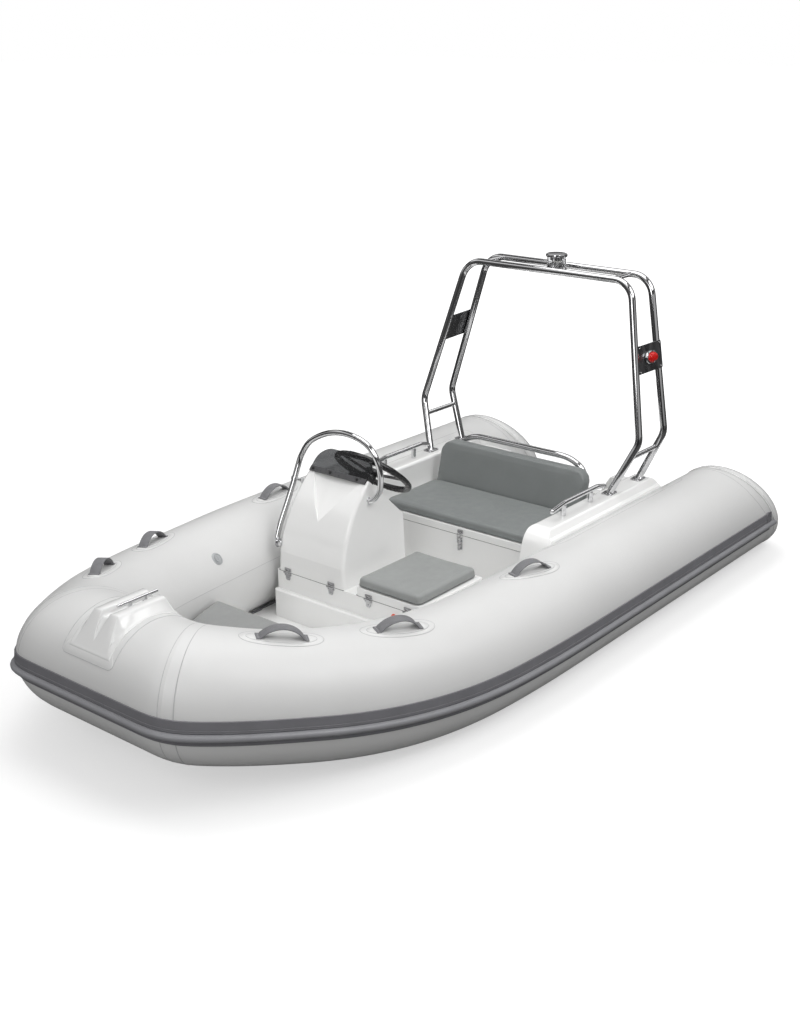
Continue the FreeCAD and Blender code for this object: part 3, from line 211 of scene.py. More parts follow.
WHITE = (0.88, 0.88, 0.872)
M = {
    "gelcoat": surface("gelcoat", WHITE, 0.16, 0.02, 3.0, 0.02, 260.0, coat=0.6),
    "step": surface("step_laminate", (0.74, 0.74, 0.735), 0.2, 0.02, 5.0, 0.03, 300.0, coat=0.5),
    "band": surface("screen_band", (0.075, 0.075, 0.078), 0.3, 0.08, 30.0, 0.05, 400.0),
    "sole": non_slip("sole", WHITE, 0.02),
    "tube": surface("tube_fabric", (0.66, 0.66, 0.655), 0.38, 0.03, 2.5, 0.05, 700.0, cloth=0.1, wear=0.03),
    "patch": surface("patch_fabric", (0.69, 0.69, 0.685), 0.36, 0.03, 5.0, 0.05, 700.0, cloth=0.1),
    # Darker grey for seams and patch edges: real seams, with painted shade where a raised edge meets the tube; also the
    # stitching thread
    "seam": surface("seam_thread_and_painted_edge_shade", (0.5, 0.5, 0.505), 0.6, 0.08, 20.0, 0.1, 500.0),
    "strake": surface("strake_rubber", (0.178, 0.176, 0.19), 0.5, 0.08, 12.0, 0.12, 900.0),
    "rail": surface("rail_rubber", (0.255, 0.255, 0.27), 0.42, 0.07, 12.0, 0.1, 900.0),
    # Near-black strip laid almost flush just below the rail: painted shadow under the rail
    "groove": surface("painted_rail_shadow_rubber", (0.03, 0.03, 0.032), 0.6, 0.1, 20.0, 0.1, 700.0),
    "webbing": surface("webbing", (0.225, 0.225, 0.235), 0.62, 0.1, 30.0, 0.1, 900.0, cloth=0.8, cloth_scale=700.0),
    "steel": polished("stainless", (0.74, 0.74, 0.75), 0.06),
    "fitting": polished("pressed_stainless", (0.5, 0.5, 0.51), 0.16),
    # Near-black strips along the lid joints: painted shadow, not a gasket
    "painted_lid_shadow": surface("painted_lid_shadow_strip", (0.1, 0.1, 0.1), 0.7, 0.1, 30.0, 0.1, 500.0),
    "plate": polished("dark_plate", (0.34, 0.34, 0.35), 0.3),
    "cushion": leather_grain("upholstery", (0.285, 0.295, 0.29)),
    "bench_vinyl": leather_grain("bench_upholstery", (0.195, 0.208, 0.206)),
    "welt": leather_grain("welt_vinyl", (0.13, 0.14, 0.138)),
    "pad": leather_grain("pad_vinyl", (0.27, 0.275, 0.272)),
    "black": surface("black_plastic", (0.018, 0.018, 0.019), 0.36, 0.2, 20.0, 0.25, 800.0),
    "grip": surface("wheel_grip", (0.013, 0.013, 0.014), 0.28, 0.2, 30.0, 0.2, 600.0, coat=0.15),
    "dial": surface("dial_face", (0.05, 0.05, 0.055), 0.3, 0.1, 60.0, 0.05, 400.0),
    "valve": surface("valve_plastic", (0.42, 0.43, 0.44), 0.4, 0.08, 40.0, 0.15, 500.0),
    "smoked": clear("smoked_acrylic", (0.13, 0.133, 0.137), 0.05, 0.93),
    "lens_clear": clear("clear_lens", (0.9, 0.91, 0.92), 0.08, 0.85),
    "lens_red": clear("red_lens", (0.75, 0.015, 0.012), 0.12, 0.35),
    "lens_green": clear("green_lens", (0.02, 0.42, 0.1), 0.12, 0.35),
    "red": surface("red_knob", (0.7, 0.08, 0.03), 0.35, 0.08, 40.0, 0.1, 400.0),
    "bulb": surface("lamp_bulb", (0.85, 0.84, 0.78), 0.25, 0.04, 60.0, 0.05, 300.0),
    "white_cap": surface("end_cap", (0.8, 0.8, 0.795), 0.26, 0.02, 4.0, 0.05, 300.0, coat=0.3),
}
# Materials of each slot: that of the record's nodes first, then those that only pieces made here wear
SLOTS = {
    "gelcoat": ["gelcoat", "white_cap", "step"], "tube_fabric": ["tube", "patch", "seam"],
    "strake_rubber": ["strake", "groove"], "rail_rubber": ["rail"], "webbing": ["webbing"],
    "stainless": ["steel", "fitting", "plate"], "upholstery": ["cushion", "welt"],
    "black_plastic": ["black", "grip", "band", "dial", "painted_lid_shadow"], "valve_plastic": ["valve"], "smoked": ["smoked"],
    "lens_clear": ["lens_clear", "bulb"], "lens_red": ["lens_red", "red"], "lens_green": ["lens_green"],
}


def dress(node, material):
    NODES[node].data.materials.clear()
    NODES[node].data.materials.append(material)


for entry in frame["record"]["subparts"]:
    dress(entry["node"], M[SLOTS[entry["material_slot"]][0]])
dress("hull", M["sole"])


# Mesh helpers

def unit(vector):
    vector = np.asarray(vector, dtype=float)
    return vector / np.linalg.norm(vector)


def circle(count):
    return np.linspace(0, 2 * pi, count + 1)[:-1]


def box_of(node):
    low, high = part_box(node)
    return np.array(low), np.array(high)


def link_object(name, data):
    obj = bpy.data.objects.new(name, data)
    bpy.context.scene.collection.objects.link(obj)
    return obj


def soften(mesh, angle):
    """Keeps the edges that turn by more than an angle crisp in a smooth-shaded mesh."""
    bm = bmesh.new()
    bm.from_mesh(mesh)
    for edge in bm.edges:
        edge.smooth = edge.calc_face_angle(0.0) < radians(angle)
    bm.to_mesh(mesh)
    bm.free()


def add_piece(name, parts, finish, body="boat", crisp=None, nodes=None, smooth=True):
    """Joins (vertices, faces) pairs into one piece that rides a body and may stand for CAD nodes."""
    verts, faces = [], []
    for part_verts, part_faces in parts:
        base = len(verts)
        verts.extend(tuple(map(float, v)) for v in part_verts)
        faces.extend(tuple(i + base for i in face) for face in part_faces)
    mesh = bpy.data.meshes.new(name)
    mesh.from_pydata(verts, [], faces)
    mesh.validate()
    obj = link_object(name, mesh)
    bm = bmesh.new()
    bm.from_mesh(mesh)
    bmesh.ops.recalc_face_normals(bm, faces=bm.faces)
    bm.to_mesh(mesh)
    bm.free()
    for polygon in mesh.polygons:
        polygon.use_smooth = smooth
    if crisp is not None:
        soften(mesh, crisp)
    mesh.materials.append(M[finish])
    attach(obj, body)
    if nodes is not None:
        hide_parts(*nodes.split())


def grid(rows, close_rows=False, close_columns=True, cap_first=False, cap_last=False):
    """Vertices and faces of a grid of points, rows by columns."""
    rows = np.asarray(rows)
    count, columns = rows.shape[:2]
    faces = []
    for i in range(count if close_rows else count - 1):
        for j in range(columns if close_columns else columns - 1):
            k = (j + 1) % columns
            n = (i + 1) % count
            faces.append((i * columns + j, i * columns + k, n * columns + k, n * columns + j))
    if cap_first:
        faces.append(tuple(range(columns)))
    if cap_last:
        faces.append(tuple(range((count - 1) * columns, count * columns)))
    return rows.reshape(-1, 3), faces


def loft(rows):
    """Solid through closed rows of points, capped at both ends."""
    return grid(rows, cap_first=True, cap_last=True)


def across_axes(axis):
    axis = unit(axis)
    first = unit(np.cross(UP if abs(axis[2]) < 0.9 else BOW, axis))
    return first, np.cross(axis, first), axis


def lathe(profile, origin, axis=UP, segments=24):
    """Solid turned about an axis; the profile is (radius, height) pairs in millimetres."""
    first, second, axis = across_axes(axis)
    return loft([[origin + axis * (h / 1000) + (first * cos(t) + second * sin(t)) * (r / 1000)
                  for t in circle(segments)] for r, h in profile])


def pipe(points, radius, closed=False, sides=8):
    """Round bar along a path."""
    points = np.asarray(points, dtype=float)
    rows = []
    normal = None
    count = len(points)
    for i in range(count):
        before = points[i - 1] if (i or closed) else points[0]
        after = points[(i + 1) % count] if (i < count - 1 or closed) else points[-1]
        along = unit(after - before)
        if normal is None:
            normal = across_axes(along)[0]
        normal = unit(normal - along * (normal @ along))
        side = np.cross(along, normal)
        rows.append([points[i] + (normal * cos(t) + side * sin(t)) * radius for t in circle(sides)])
    return grid(rows, close_rows=closed, cap_first=not closed, cap_last=not closed)


def spline(points, steps=8):
    """Smooth curve through points."""
    p = np.array(points)
    p = np.vstack([2 * p[0] - p[1], p, 2 * p[-1] - p[-2]])
    out = []
    for a, b, c, d in zip(p, p[1:], p[2:], p[3:]):
        for t in np.linspace(0, 1, steps, endpoint=False):
            out.append(0.5 * (2 * b + (c - a) * t + (2 * a - 5 * b + 4 * c - d) * t ** 2
                              + (3 * b - a - 3 * c + d) * t ** 3))
    return np.array(out + [p[-2]])


def rounded_outline(width, height, corner, steps=4):
    """Points round a rectangle with round corners, centred on the origin."""
    points = []
    for sx, sy, start in ((1, 1, 0), (-1, 1, 90), (-1, -1, 180), (1, -1, 270)):
        for k in range(steps + 1):
            a = radians(start + 90 * k / steps)
            points.append((sx * (width / 2 - corner) + corner * cos(a), sy * (height / 2 - corner) + corner * sin(a)))
    return np.array(points)


def plate(outline, origin, first, second, thickness, bevel=0.0005):
    """Flat plate with softened upper edges, standing on a plane."""
    out = np.cross(first, second)
    size = np.abs(outline).max(axis=0)
    return loft([[origin + first * a + second * b + out * height for a, b in outline * (1 - inset / size)]
                 for inset, height in ((0.0, 0.0), (0.0, thickness - bevel), (bevel, thickness))])


def screw(place, out, radius=0.004):
    """Domed head with a socket."""
    size = radius * 1000
    return lathe([(size, 0), (size * 0.95, size * 0.35), (size * 0.62, size * 0.56), (size * 0.42, size * 0.58),
                  (size * 0.4, size * 0.2)], place, out, 12)


def mirrored(part):
    verts, faces = part
    return np.asarray(verts) * FLIP, faces


def on_the(side, parts):
    return [mirrored(p) for p in parts] if side == "starboard" else parts


def both(parts):
    return parts + on_the("starboard", parts)


# The collar's surface, from the same numbers as the CAD

TUBE_R, BOW_R = 0.2395, 0.233
TUBE_Y, TUBE_Z = 0.7085, 0.222
CURVE_X, BOW_X, BOW_Y = 1.151, 2.777, 0.282
SHEER_X, SHEER_RISE, SWELL_X = 1.729, 0.135, 1.1
EXIT = radians(39.0)
P0 = np.array([CURVE_X, TUBE_Y])
P3 = np.array([BOW_X, BOW_Y])
P1 = P0 + np.array([0.621, 0.0])
P2 = P3 - np.array([cos(EXIT), -sin(EXIT)]) * 0.644
MITRE = tan((pi / 2 - EXIT) / 2)
MITRE_SHARE = 0.8  # of the curve, where its rings begin to turn into the mitre
CAP_X, TAIL_X, TAIL_LENGTH, LEAN = -0.424, -0.456, 0.156, 0.68
TURNS = circle(72)


def tube_centre(u):
    """Centre, heading and radius; u is X on the straight part, and adds the curve's share beyond it."""
    t = max(0.0, u - CURVE_X)
    r = 1 - t
    p = P0 * r ** 3 + P1 * 3 * r * r * t + P2 * 3 * r * t * t + P3 * t ** 3
    h = unit((P1 - P0) * r * r + (P2 - P1) * 2 * r * t + (P3 - P2) * t * t)
    x = min(u, CURVE_X) if t == 0 else p[0]
    rise = max(0.0, (x - SHEER_X) / (BOW_X - SHEER_X)) ** 2
    swell = max(0.0, (x - SWELL_X) / (BOW_X - SWELL_X)) ** 2
    return vec(x, p[1], TUBE_Z + SHEER_RISE * rise), vec(h[0], h[1], 0), TUBE_R + (BOW_R - TUBE_R) * swell


def side_point(u, angle, lift=0.0):
    """Point on the port tube; the angle is measured up from the outboard side."""
    centre, heading, radius = tube_centre(u)
    outward = vec(-heading[1], heading[0], 0)
    reach = radius + lift
    w = max(0.0, (u - CURVE_X - MITRE_SHARE) / (1 - MITRE_SHARE))
    shift = MITRE * w * w * (3 - 2 * w)
    return centre + outward * reach * cos(angle) + UP * reach * sin(angle) + heading * (shift * reach * cos(angle))


def tail_point(u, angle, lift=0.0):
    """Point on a ring whose top leans forward, as at the stern; the lean fades towards the curve."""
    share = max(0.0, (TAIL_X - u) / TAIL_LENGTH)
    reach = TUBE_R * (1 - share ** 1.9) ** 0.535 + lift
    lean = LEAN * min(1.0, max(0.0, (CURVE_X - u) / (CURVE_X - CAP_X)))
    return vec(u + lean * reach * sin(angle), TUBE_Y + reach * cos(angle), TUBE_Z + reach * sin(angle))


def bow_place(y, angle, lift=0.0):
    """Point on the tube across the bow."""
    reach = BOW_R + lift
    return vec(BOW_X + reach * cos(angle), y, TUBE_Z + SHEER_RISE + reach * sin(angle))


US = np.concatenate([np.linspace(-0.5, CURVE_X, 60)[:-1], CURVE_X + np.linspace(0, 1, 200)])
CENTRES = np.array([tube_centre(u)[0] for u in US])
ARC = US[0] + np.concatenate([[0], np.cumsum(np.linalg.norm(np.diff(CENTRES[:, :2], axis=0), axis=1))])
MITRE_ARC, BOW_RUN = float(ARC[-1]), 2 * BOW_Y
CORNER_REACH, CORNER_SPREAD = 0.24, 0.13
WEIGHTS = np.array([1, 8, 28, 56, 70, 56, 28, 8, 1]) / 256


def u_at(arc):
    return float(np.interp(arc, ARC, US))


def arc_of(u):
    return float(np.interp(u, US, ARC))


def raw_point(arc, angle, lift):
    """Point on the whole collar with sharp mitres; arc runs from the port stern round the bow."""
    if arc > MITRE_ARC + BOW_RUN:
        return side_point(u_at(2 * MITRE_ARC + BOW_RUN - arc), angle, lift) * FLIP
    if arc > MITRE_ARC:
        half = BOW_Y + (BOW_R + lift) * cos(angle) * MITRE
        return bow_place(half * (1 - 2 * (arc - MITRE_ARC) / BOW_RUN), angle, lift)
    return side_point(u_at(arc), angle, lift)


def collar_point(arc, angle, lift=0.0):
    """Point on the whole collar, with its two corners rounded."""
    away = min(abs(arc - MITRE_ARC), abs(arc - MITRE_ARC - BOW_RUN)) / CORNER_REACH
    if away >= 1:
        return raw_point(arc, angle, lift)
    spread = CORNER_SPREAD * (1 - away ** 2) ** 2
    return sum(w * raw_point(arc + spread * k / 4, angle, lift) for w, k in zip(WEIGHTS, range(-4, 5)))


def on_side(arc, angle):
    """Placing function on the port tube round a point: along the tube, round it, and lift, in metres."""
    radius = tube_centre(u_at(arc))[2]
    return lambda along, round_, lift: collar_point(arc + along, angle + round_ / radius, lift)


def ribbon(path, place, width, lift, closed=False, step=0.012):
    """Thin raised strip along a flat path that a placing function lays on the collar."""
    path = np.asarray(path, dtype=float)
    if closed:
        path = np.vstack([path, path[:1]])
    lengths = np.concatenate([[0], np.cumsum(np.linalg.norm(np.diff(path, axis=0), axis=1))])
    at = np.linspace(0, lengths[-1], max(4, int(lengths[-1] / step)) + 1)
    fine = np.stack([np.interp(at, lengths, path[:, 0]), np.interp(at, lengths, path[:, 1])], axis=1)
    if closed:
        fine = fine[:-1]
        tangent = np.roll(fine, -1, axis=0) - np.roll(fine, 1, axis=0)
    else:
        tangent = np.gradient(fine, axis=0)
    tangent /= np.maximum(np.linalg.norm(tangent, axis=1), 1e-9)[:, None]
    normal = np.stack([-tangent[:, 1], tangent[:, 0]], axis=1)
    rows = [[place(*(p + n * width * side), height)
             for side, height in ((-0.5, -0.0004), (-0.4, lift), (0.4, lift), (0.5, -0.0004))]
            for p, n in zip(fine, normal)]
    return grid(rows, close_rows=closed, close_columns=False)


def pad_on(outline, place, lift):
    """Thin raised patch inside a closed outline."""
    centre = outline.mean(axis=0)
    rows = [[place(*(centre + (p - centre) * share), height) for p in outline]
            for share, height in ((0.02, lift), (0.3, lift), (0.6, lift), (0.85, lift), (0.99, lift), (1.0, -0.0003))]
    return grid(rows, cap_first=True)


# Tubes, hard stern caps and the tube across the bow

def collar_pieces():
    rows = [[tail_point(u, a) for a in TURNS] for u in np.linspace(CAP_X, CURVE_X, 26)[:-1]]
    rows += [[collar_point(arc, a) for a in TURNS] for arc in np.linspace(arc_of(CURVE_X), MITRE_ARC, 72)]
    tube = [grid(rows)]
    # The cap's lip over the end of the fabric, then its rounded tail
    rows = [[tail_point(CAP_X + ahead, a, lift) for a in TURNS]
            for ahead, lift in ((0.0004, 0.0), (0.0002, 0.0034), (-0.012, 0.0036), (-0.014, 0.0016))]
    run = TAIL_X - TAIL_LENGTH - CAP_X + 0.014
    for k in range(1, 22):
        share = 1 - (1 - k / 21) ** 1.6
        rows.append([tail_point(CAP_X - 0.014 + run * share * 0.985, a, 0.0016 * (1 - share)) for a in TURNS])
    cap = [grid(rows, cap_last=True)]
    for side in ("port", "starboard"):
        add_piece("collar_" + side, on_the(side, tube), "tube", nodes="tube_" + side)
        add_piece("stern_cap_" + side, on_the(side, cap), "white_cap", nodes="end_cap_" + side)
    rows = [[collar_point(arc, a) for a in TURNS] for arc in np.linspace(MITRE_ARC, MITRE_ARC + BOW_RUN, 37)]
    add_piece("collar_bow", [grid(rows)], "tube", nodes="tube_bow")


collar_pieces()


# Rubbing strake and rail; a profile is (angle in degrees, lift in millimetres)

STRAKE_END, RAIL_END = -0.402, -0.43
STRAKE = [(8.8, 0.3), (8.75, 3.6), (8.4, 4.8), (1.4, 5.0), (1.2, 4.0), (0.4, 4.0), (0.2, 5.2), (-1.5, 5.2),
          (-1.7, 4.4), (-8.9, 4.4), (-9.1, 4.9), (-13.5, 4.6), (-13.9, 3.4), (-14.0, 0.3)]
RAIL = [(-2.05, 5.3), (-2.2, 10.0), (-2.7, 15.0), (-3.5, 19.4), (-4.6, 21.7), (-5.9, 21.7), (-7.0, 19.4),
        (-7.9, 15.0), (-8.35, 10.0), (-8.5, 5.3)]
# Painted shadow under the rail: a near-black strip almost flush with the strake, with no real groove
RAIL_SHADOW = [(-8.55, 4.5), (-8.6, 5.2), (-9.6, 5.2), (-9.7, 4.5)]


def around(profile, start):
    """Sweep a profile round the whole collar, stern to stern."""
    half = MITRE_ARC + BOW_RUN / 2
    arcs = np.concatenate([np.linspace(start, CURVE_X, 22)[:-1], np.linspace(arc_of(CURVE_X), half, 96)])
    port = np.array([[collar_point(arc, radians(a), lift / 1000) for a, lift in profile] for arc in arcs])
    return grid(np.concatenate([port, (port[:-1] * FLIP)[::-1]]), close_columns=False, cap_first=True, cap_last=True)


def strake_pieces():
    add_piece("strake_profile", [around(STRAKE, STRAKE_END)], "strake", crisp=35, nodes="rubbing_strake")
    add_piece("rail_profile", [around(RAIL, RAIL_END)], "rail", crisp=50, nodes="rub_rail")
    fine = [around([(a + w / 2, 3.8), (a + w / 2 - 0.08, lift), (a - w / 2 + 0.08, lift), (a - w / 2, 3.8)], STRAKE_END)
            for a, w, lift in ((0.8, 0.55, 5.0), (-1.0, 0.28, 5.7))]
    add_piece("strake_fine_lines", fine, "rail")
    # The near-black strip below the rail is painted shadow
    add_piece("rail_painted_shadow", [around(RAIL_SHADOW, STRAKE_END)], "groove")
    # Dark end patch over the strake, with cross ribs
    place = on_side(-0.365, radians(1.5))
    outline = rounded_outline(0.034, 0.066, 0.004)
    patch = [pad_on(outline, place, 0.0068)]
    patch += [ribbon([(-0.0165, at), (0.0165, at)], place, 0.0035, 0.008) for at in (-0.016, -0.004, 0.008, 0.02)]
    patch.append(ribbon(outline, place, 0.003, 0.008, closed=True))
    add_piece("strake_end_patches", both(patch), "strake")


strake_pieces()


# Seams, tapes and patches on the collar; the darker lines along seams and patch edges are painted shade

SEAM_WIDTH, SEAM_LIFT = 0.0023, 0.0005
STERN_SEAM_DEGREES = [-60, -21, 5.6, 22, 39, 58, 75, 94, 120, 160]
STERN_SEAM_X = [-0.5, -0.415, -0.358, -0.301, -0.26, -0.239, -0.23, -0.236, -0.255, -0.31]
INNER_SEAM, TAPE_LOW, TAPE_CORNER = radians(166.0), radians(172.0) * TUBE_R, 0.09


def collar_seams():
    seams = []

    def seam(path, place):
        seams.append(ribbon(path, place, SEAM_WIDTH, SEAM_LIFT))

    def straight(x, round_, lift):
        return side_point(x, round_ / TUBE_R, lift)

    fine = np.radians(np.arange(-60, 161, 4))
    bend = np.interp(fine, np.radians(STERN_SEAM_DEGREES), STERN_SEAM_X)
    bend[1:-1] = (bend[:-2] + bend[1:-1] * 2 + bend[2:]) / 4
    seam(np.stack([bend, fine * TUBE_R], axis=1), straight)
    # Mitre bands at the bow
    for arc in (MITRE_ARC - 0.034, MITRE_ARC + 0.012):
        seam([(0.0, radians(a) * BOW_R) for a in range(-100, 200, 6)],
             lambda along, round_, lift: collar_point(arc + along, round_ / BOW_R, lift))
    # Joint of the tube's panels along its inner side
    seam([(s, 0.0) for s in np.linspace(1.16, MITRE_ARC - 0.04, 60)],
         lambda s, round_, lift: side_point(u_at(s), INNER_SEAM + round_ / TUBE_R, lift))
    # Tape round the foot of the side moulding
    for angle, nose, aft in ((113.0, 1.15, 0.0), (104.5, 1.06, -0.075)):
        top = radians(angle) * TUBE_R
        path = [(aft, top + 0.05), (aft + 0.02, top + 0.012), (aft + 0.06, top)]
        path += [(nose - TAPE_CORNER + TAPE_CORNER * sin(a), top + TAPE_CORNER - TAPE_CORNER * cos(a))
                 for a in np.linspace(0, pi / 2, 8)]
        seam(path + [(nose + 0.01, top + 1.6 * TAPE_CORNER), (nose + 0.012, TAPE_LOW)], straight)
    add_piece("collar_seams", both(seams), "seam")
    # Tape round the foot of the bow step
    outline = rounded_outline(0.262, 0.42, 0.02)

    def on_bow(y, round_, lift):
        return bow_place(y, radians(81.0) + round_ / BOW_R, lift)

    add_piece("step_patch", [pad_on(outline, on_bow, 0.0006)], "patch")
    # The darker outline of the step patch is painted shade at its edge
    add_piece("step_patch_edge", [ribbon(outline, on_bow, SEAM_WIDTH, 0.0011, closed=True)], "seam")


collar_seams()


# Step over the bow tube

STEP_TOP, STEP_FRONT, STEP_BACK, STEP_NOSE = 0.6168, 2.8766, 2.666, 2.94
STEP_HALF, FLANGE_HALF, FLANGE_LIFT, GROOVE_HALF = 0.0605, 0.104, 0.0035, 0.024


def step_section(x):
    """Cut across the step: flange, flared side, round edge and the groove for the line."""
    base = TUBE_Z + SHEER_RISE + sqrt(BOW_R ** 2 - (x - BOW_X) ** 2)
    floor = base + FLANGE_LIFT
    ahead, behind = max(0.0, x - STEP_FRONT), max(0.0, STEP_BACK - x)
    slope = max(ahead * 1.417, behind * 2.0)
    rise = max(0.0, STEP_TOP - (slope ** 2 / (slope + 0.006) if slope else 0.0) - floor)
    grown = min(1.0, rise / 0.02)
    half = STEP_HALF + 0.3 * ahead + 0.25 * behind
    foot = half + 0.002 + 0.026 * grown ** 0.5 * max(0.0, 1 - ahead / 0.055) ** 0.6
    crown = floor + rise
    flange = max(foot + 0.016, FLANGE_HALF)
    reach = min(1.0, max(0.0, (STEP_NOSE - x) / 0.075))
    groove, depth = GROOVE_HALF * reach ** 0.7, min(rise * 0.9, GROOVE_HALF * reach)
    points = [(flange + 0.0006, base - 0.001), (flange, base + 0.0022), (flange - 0.0015, floor), (foot + 0.01, floor),
              (foot + 0.004, floor + 0.0012 * grown), (foot, floor + 0.004 * grown)]
    points += [(foot + (half + 0.003 - foot) * share, floor + 0.004 * grown + (rise - 0.011 * grown) * share ** 1.15)
               for share in (0.2, 0.4, 0.6, 0.8)]
    points += [(half + 0.003, crown - 0.007 * grown), (half + 0.0005, crown - 0.0025 * grown), (half - 0.0035, crown),
               ((half + groove) / 2, crown), (groove + 0.0035, crown), (groove + 0.0008, crown - 0.06 * depth),
               (groove - 0.0015 * reach, crown - 0.3 * depth), (groove * 0.85, crown - 0.75 * depth),
               (groove * 0.6, crown - 0.95 * depth), (0.0, crown - depth)]
    return [(x, y, z) for y, z in points] + [(x, -y, z) for y, z in points[-2::-1]]


def bow_step_piece():
    xs = [2.5665, 2.5675]
    for start, end, count in ((2.57, STEP_BACK - 0.012, 16), (STEP_BACK - 0.009, STEP_BACK + 0.01, 9),
                              (STEP_BACK + 0.03, STEP_FRONT - 0.02, 9), (STEP_FRONT - 0.012, STEP_FRONT + 0.012, 10),
                              (STEP_FRONT + 0.015, 2.9635, 26)):
        xs += list(np.linspace(start, end, count))
    rows = [step_section(x) for x in xs + [2.9645, 2.9652]]
    for k, drop in ((0, 0.0055), (-1, 0.006), (-2, 0.0018), (1, 0.0015)):
        rows[k] = [(x, y, z - drop) for x, y, z in rows[k]]
    add_piece("bow_step_moulding", [grid(rows, close_columns=False)], "step", crisp=50, nodes="bow_step")


bow_step_piece()


# Carrying handles

HANDLE_SPAN, HANDLE_WIDTH, HANDLE_RISE, STRAP = 0.184, 0.042, 0.0445, 0.005
# Feet on the collar: curve place and degrees round the tube, at the front and at the back
HANDLES = {
    "port": [(2.027, 88.0, 1.923, 82.5), (1.771, 84.0, 1.657, 76.5), (1.312, 94.0, 1.218, 82.0)],
    "starboard": [(2.027, 88.5, 1.927, 87.0), (1.768, 86.0, 1.656, 82.5), (1.302, 93.0, 1.202, 91.0)],
}


def handle_frame(u1, angle1, u2, angle2):
    """Middle of a handle on the tube, and its directions along, across and up."""
    middle = side_point((u1 + u2) / 2, radians((angle1 + angle2) / 2))
    along = unit(side_point(u1, radians(angle1)) - side_point(u2, radians(angle2)))
    up = unit(middle - tube_centre((u1 + u2) / 2)[0])
    up = unit(up - along * (up @ along))
    return middle, along, np.cross(up, along), up


def strap_height(reach):
    """Middle of the strap above the tube."""
    crown, top, foot = HANDLE_SPAN / 2 - 0.014, HANDLE_RISE - STRAP / 2, STRAP / 2
    radius = (crown ** 2 + (top - foot) ** 2) / (2 * (top - foot))
    return foot if abs(reach) >= crown else max(foot, top - radius + sqrt(radius ** 2 - reach ** 2))


def strap(root, along, across, up):
    reaches = np.concatenate([np.linspace(-0.092, -0.078, 4), np.linspace(-0.074, 0.074, 35),
                              np.linspace(0.078, 0.092, 4)])
    heights = np.array([strap_height(r) for r in reaches])
    wide, narrow, edge, thick = HANDLE_WIDTH / 2, HANDLE_WIDTH / 2 - 0.002, STRAP * 0.3, STRAP / 2
    profile = [(-wide, -edge), (-wide, edge), (-narrow, thick), (narrow, thick), (wide, edge), (wide, -edge),
               (narrow, -thick), (-narrow, -thick)]
    rows = []
    for r, h, s in zip(reaches, heights, np.gradient(heights, reaches)):
        normal = unit(up - along * s)
        rows.append([root + along * r + up * h + across * side + normal * out for side, out in profile])
    return loft(rows)


def hexagon(length, width):
    """Long six-sided outline with rounded corners."""
    a, b = length / 2, width / 2
    points = np.array([(a, 0), (0.62 * a, b), (-0.62 * a, b), (-a, 0), (-0.62 * a, -b), (0.62 * a, -b)])
    for _ in range(3):
        following = np.roll(points, -1, axis=0)
        points = np.stack([points * 0.75 + following * 0.25, points * 0.25 + following * 0.75], axis=1).reshape(-1, 2)
    return points


def handle_pieces(side):
    straps, pads, edges, stitches = [], [], [], []
    stitch = rounded_outline(0.0008, 0.0026, 0.0003, 1)
    for feet in HANDLES[side]:
        root, along, across, up = handle_frame(*feet)
        straps.append(strap(root, along, across, up))
        arcs, angles = (arc_of(feet[0]), arc_of(feet[2])), (radians(feet[1]), radians(feet[3]))
        place = on_side(sum(arcs) / 2, sum(angles) / 2)
        yaw = atan2((angles[0] - angles[1]) * TUBE_R, arcs[0] - arcs[1])
        turn = np.array([[cos(yaw), sin(yaw)], [-sin(yaw), cos(yaw)]])
        outer, inner = hexagon(0.32, 0.1) @ turn, hexagon(0.268, 0.066) @ turn
        pads += [pad_on(outer, place, 0.0006), pad_on(inner, place, 0.0012)]
        edges += [ribbon(outer, place, 0.002, 0.001, closed=True), ribbon(inner, place, 0.0016, 0.0016, closed=True)]
        for end in (-0.085, 0.085):
            for k in np.linspace(-0.016, 0.016, 9):
                centre = root + along * end + across * k + up * (STRAP + 0.0001)
                stitches.append(plate(stitch, centre, along, across, 0.0004, 0.0001))
    add_piece("grab_handles_" + side, on_the(side, straps), "webbing", crisp=35, nodes="handles_" + side)
    add_piece("handle_patches_" + side, on_the(side, pads), "patch")
    # The darker outlines of the handle patches are painted shade at their edges
    add_piece("handle_patch_edges_" + side, on_the(side, edges), "seam")
    add_piece("handle_stitching_" + side, on_the(side, stitches), "seam")


handle_pieces("port")
handle_pieces("starboard")


# Narrow rubber strip along the deck's edge, and the inflation valves

STRIP_PROFILE = [(-0.004, 0.0304), (-0.004, 0.0355), (-0.0075, 0.0362), (-0.0085, 0.0345), (-0.0125, 0.0345),
                 (-0.0135, 0.0362), (-0.017, 0.0355), (-0.0175, 0.0304)]
VALVE_X, VALVE_ANGLE = 1.946, radians(40.0)
VALVE = [(28.5, 0), (28.2, 1.6), (23.5, 3), (22.8, 5), (19.5, 5.6), (19, 3), (16.5, 3), (16, 6.6), (6, 7.4)]


def deck_edge():
    node = NODES["deck_strip"]
    low, high = box_of("deck_strip")
    points = np.array([node.matrix_world @ v.co for v in node.data.vertices])
    points = points[points[:, 1] > 0]
    rows, outer = [], np.inf
    for x in np.linspace(low[0] + 0.01, high[0] - 0.01, 60):
        near = points[np.abs(points[:, 0] - x) < 0.05]
        outer = min(outer, near[:, 1].max()) if len(near) else outer
        rows.append([(x, outer + inward, z) for inward, z in STRIP_PROFILE])
    add_piece("deck_edge_strip", both([loft(rows)]), "strake", crisp=40, nodes="deck_strip")


